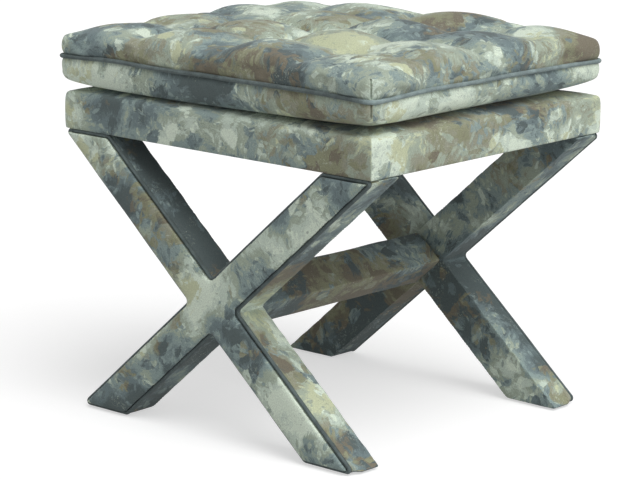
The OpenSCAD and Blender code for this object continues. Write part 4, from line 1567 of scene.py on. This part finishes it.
# Light from the world, and how much of the light the floor gives back
SKY = 0.26
FLOOR_WHITE = 0.56

# Name, turn from +X towards -Y and height in degrees, strength, spread in degrees
LAMPS = (
    ("top lamp", 15, 60, 2.0, 45), ("side lamp", 8, 20, 0.86, 60), ("fill lamp", 100, 30, 0.12, 70))


def soft_lamp(name, turn, height, strength, spread):
    """A wide, even lamp."""
    lamp = bpy.data.lights.new(name, "SUN")
    lamp.energy = strength
    lamp.angle = math.radians(spread)
    holder = bpy.data.objects.new(name, lamp)
    bpy.context.collection.objects.link(holder)
    a, h = math.radians(-turn), math.radians(height)
    way = Vector((math.cos(a) * math.cos(h), math.sin(a) * math.cos(h), math.sin(h)))
    holder.location = way * 3
    holder.rotation_euler = way.to_track_quat("Z", "Y").to_euler()


def seen_directly(g):
    """1 for rays from the camera, from a gloss and through glass."""
    path = g.add("ShaderNodeLightPath").outputs
    return g.calc("MAXIMUM", path["Is Camera Ray"],
                  g.calc("MAXIMUM", path["Is Glossy Ray"], path["Is Transmission Ray"]))


def white_floor():
    """White where it is seen directly, with soft shadows, and clear from below."""
    material, g = new_material("white floor")
    diffuse = g.add("ShaderNodeBsdfDiffuse", {"Color": (FLOOR_WHITE, FLOOR_WHITE, FLOOR_WHITE, 1)})
    glow = g.add("ShaderNodeEmission", {
        "Color": (1, 1, 1, 1), "Strength": g.times(seen_directly(g), FLOOR_WHITE)})
    lit = g.add("ShaderNodeAddShader", {0: diffuse.outputs[0], 1: glow.outputs[0]})
    clear = g.add("ShaderNodeBsdfTransparent")
    below = g.add("ShaderNodeNewGeometry").outputs["Backfacing"]
    mixed = g.add("ShaderNodeMixShader", {0: below, 1: lit.outputs[0], 2: clear.outputs[0]})
    g.add("ShaderNodeOutputMaterial", {"Surface": mixed.outputs[0]})
    return material


def soft_world():
    """White where it is seen directly, and a weak even light elsewhere."""
    world = bpy.data.worlds.new("soft white")
    world.use_nodes = True
    g = Nodes(world.node_tree)
    g.tree.nodes.clear()
    strength = g.plus(g.times(seen_directly(g), 1 - SKY), SKY)
    sky = g.add("ShaderNodeBackground", {"Color": (1, 1, 1, 1), "Strength": strength})
    g.add("ShaderNodeOutputWorld", {"Surface": sky.outputs[0]})
    return world


class OTTOMAN_OT_stage(bpy.types.Operator):
    """Sets the floor, the lamps, the world and the camera"""
    bl_idname = "ottoman.stage"
    bl_label = "Stage"

    def execute(self, context):
        scene = context.scene
        clear_selection()
        bpy.ops.mesh.primitive_plane_add(size=24, location=(0, 0, 0))
        floor = name_piece(bpy.context.object, "floor")
        floor.data.materials.append(white_floor())
        scene.world = soft_world()
        for lamp in LAMPS:
            soft_lamp(*lamp)

        camera = bpy.data.objects.new("camera", bpy.data.cameras.new("camera"))
        context.collection.objects.link(camera)
        camera.data.sensor_width = 36
        camera.data.lens = CAMERA_LENS
        camera.matrix_world = (
            Matrix.Translation(CAMERA_PLACE)
            @ Matrix.Rotation(math.radians(CAMERA_YAW), 4, "Z")
            @ Matrix.Rotation(math.radians(90 + CAMERA_PITCH), 4, "X")
            @ Matrix.Rotation(math.radians(CAMERA_ROLL), 4, "Z"))
        scene.camera = camera
        scene.view_settings.view_transform = "Standard"
        return {"FINISHED"}


class OTTOMAN_PT_panel(bpy.types.Panel):
    """Sizes, colours and steps of the ottoman"""
    bl_idname = "OTTOMAN_PT_panel"
    bl_label = "Tufted ottoman"
    bl_space_type = "VIEW_3D"
    bl_region_type = "UI"
    bl_category = "Ottoman"

    def draw(self, context):
        layout = self.layout
        for step in STEPS:
            layout.operator(step.bl_idname)
        for group in (context.scene.ottoman_sizes, context.scene.ottoman_colours):
            box = layout.box()
            for key in group.__annotations__:
                box.prop(group, key)


STEPS = (
    OTTOMAN_OT_stage, OTTOMAN_OT_inner_parts, OTTOMAN_OT_seat_box, OTTOMAN_OT_cushion,
    OTTOMAN_OT_cushion_welt, OTTOMAN_OT_frame_covers, OTTOMAN_OT_frame_welts,
    OTTOMAN_OT_stretcher, OTTOMAN_OT_dust_cover,
)
CLASSES = (OttomanSizes, OttomanColours, *STEPS, OTTOMAN_PT_panel)


def register():
    for item in CLASSES:
        bpy.utils.register_class(item)
    bpy.types.Scene.ottoman_sizes = PointerProperty(type=OttomanSizes)
    bpy.types.Scene.ottoman_colours = PointerProperty(type=OttomanColours)


def unregister():
    del bpy.types.Scene.ottoman_colours
    del bpy.types.Scene.ottoman_sizes
    for item in reversed(CLASSES):
        bpy.utils.unregister_class(item)


def main():
    register()
    make_finishes()
    bpy.ops.ottoman.stage()
    bpy.ops.ottoman.inner_parts()
    bpy.ops.ottoman.seat_box()
    bpy.ops.ottoman.cushion()
    bpy.ops.ottoman.cushion_welt()
    bpy.ops.ottoman.frame_covers()
    bpy.ops.ottoman.frame_welts()
    bpy.ops.ottoman.stretcher()
    bpy.ops.ottoman.dust_cover()


if __name__ == "__main__":
    main()
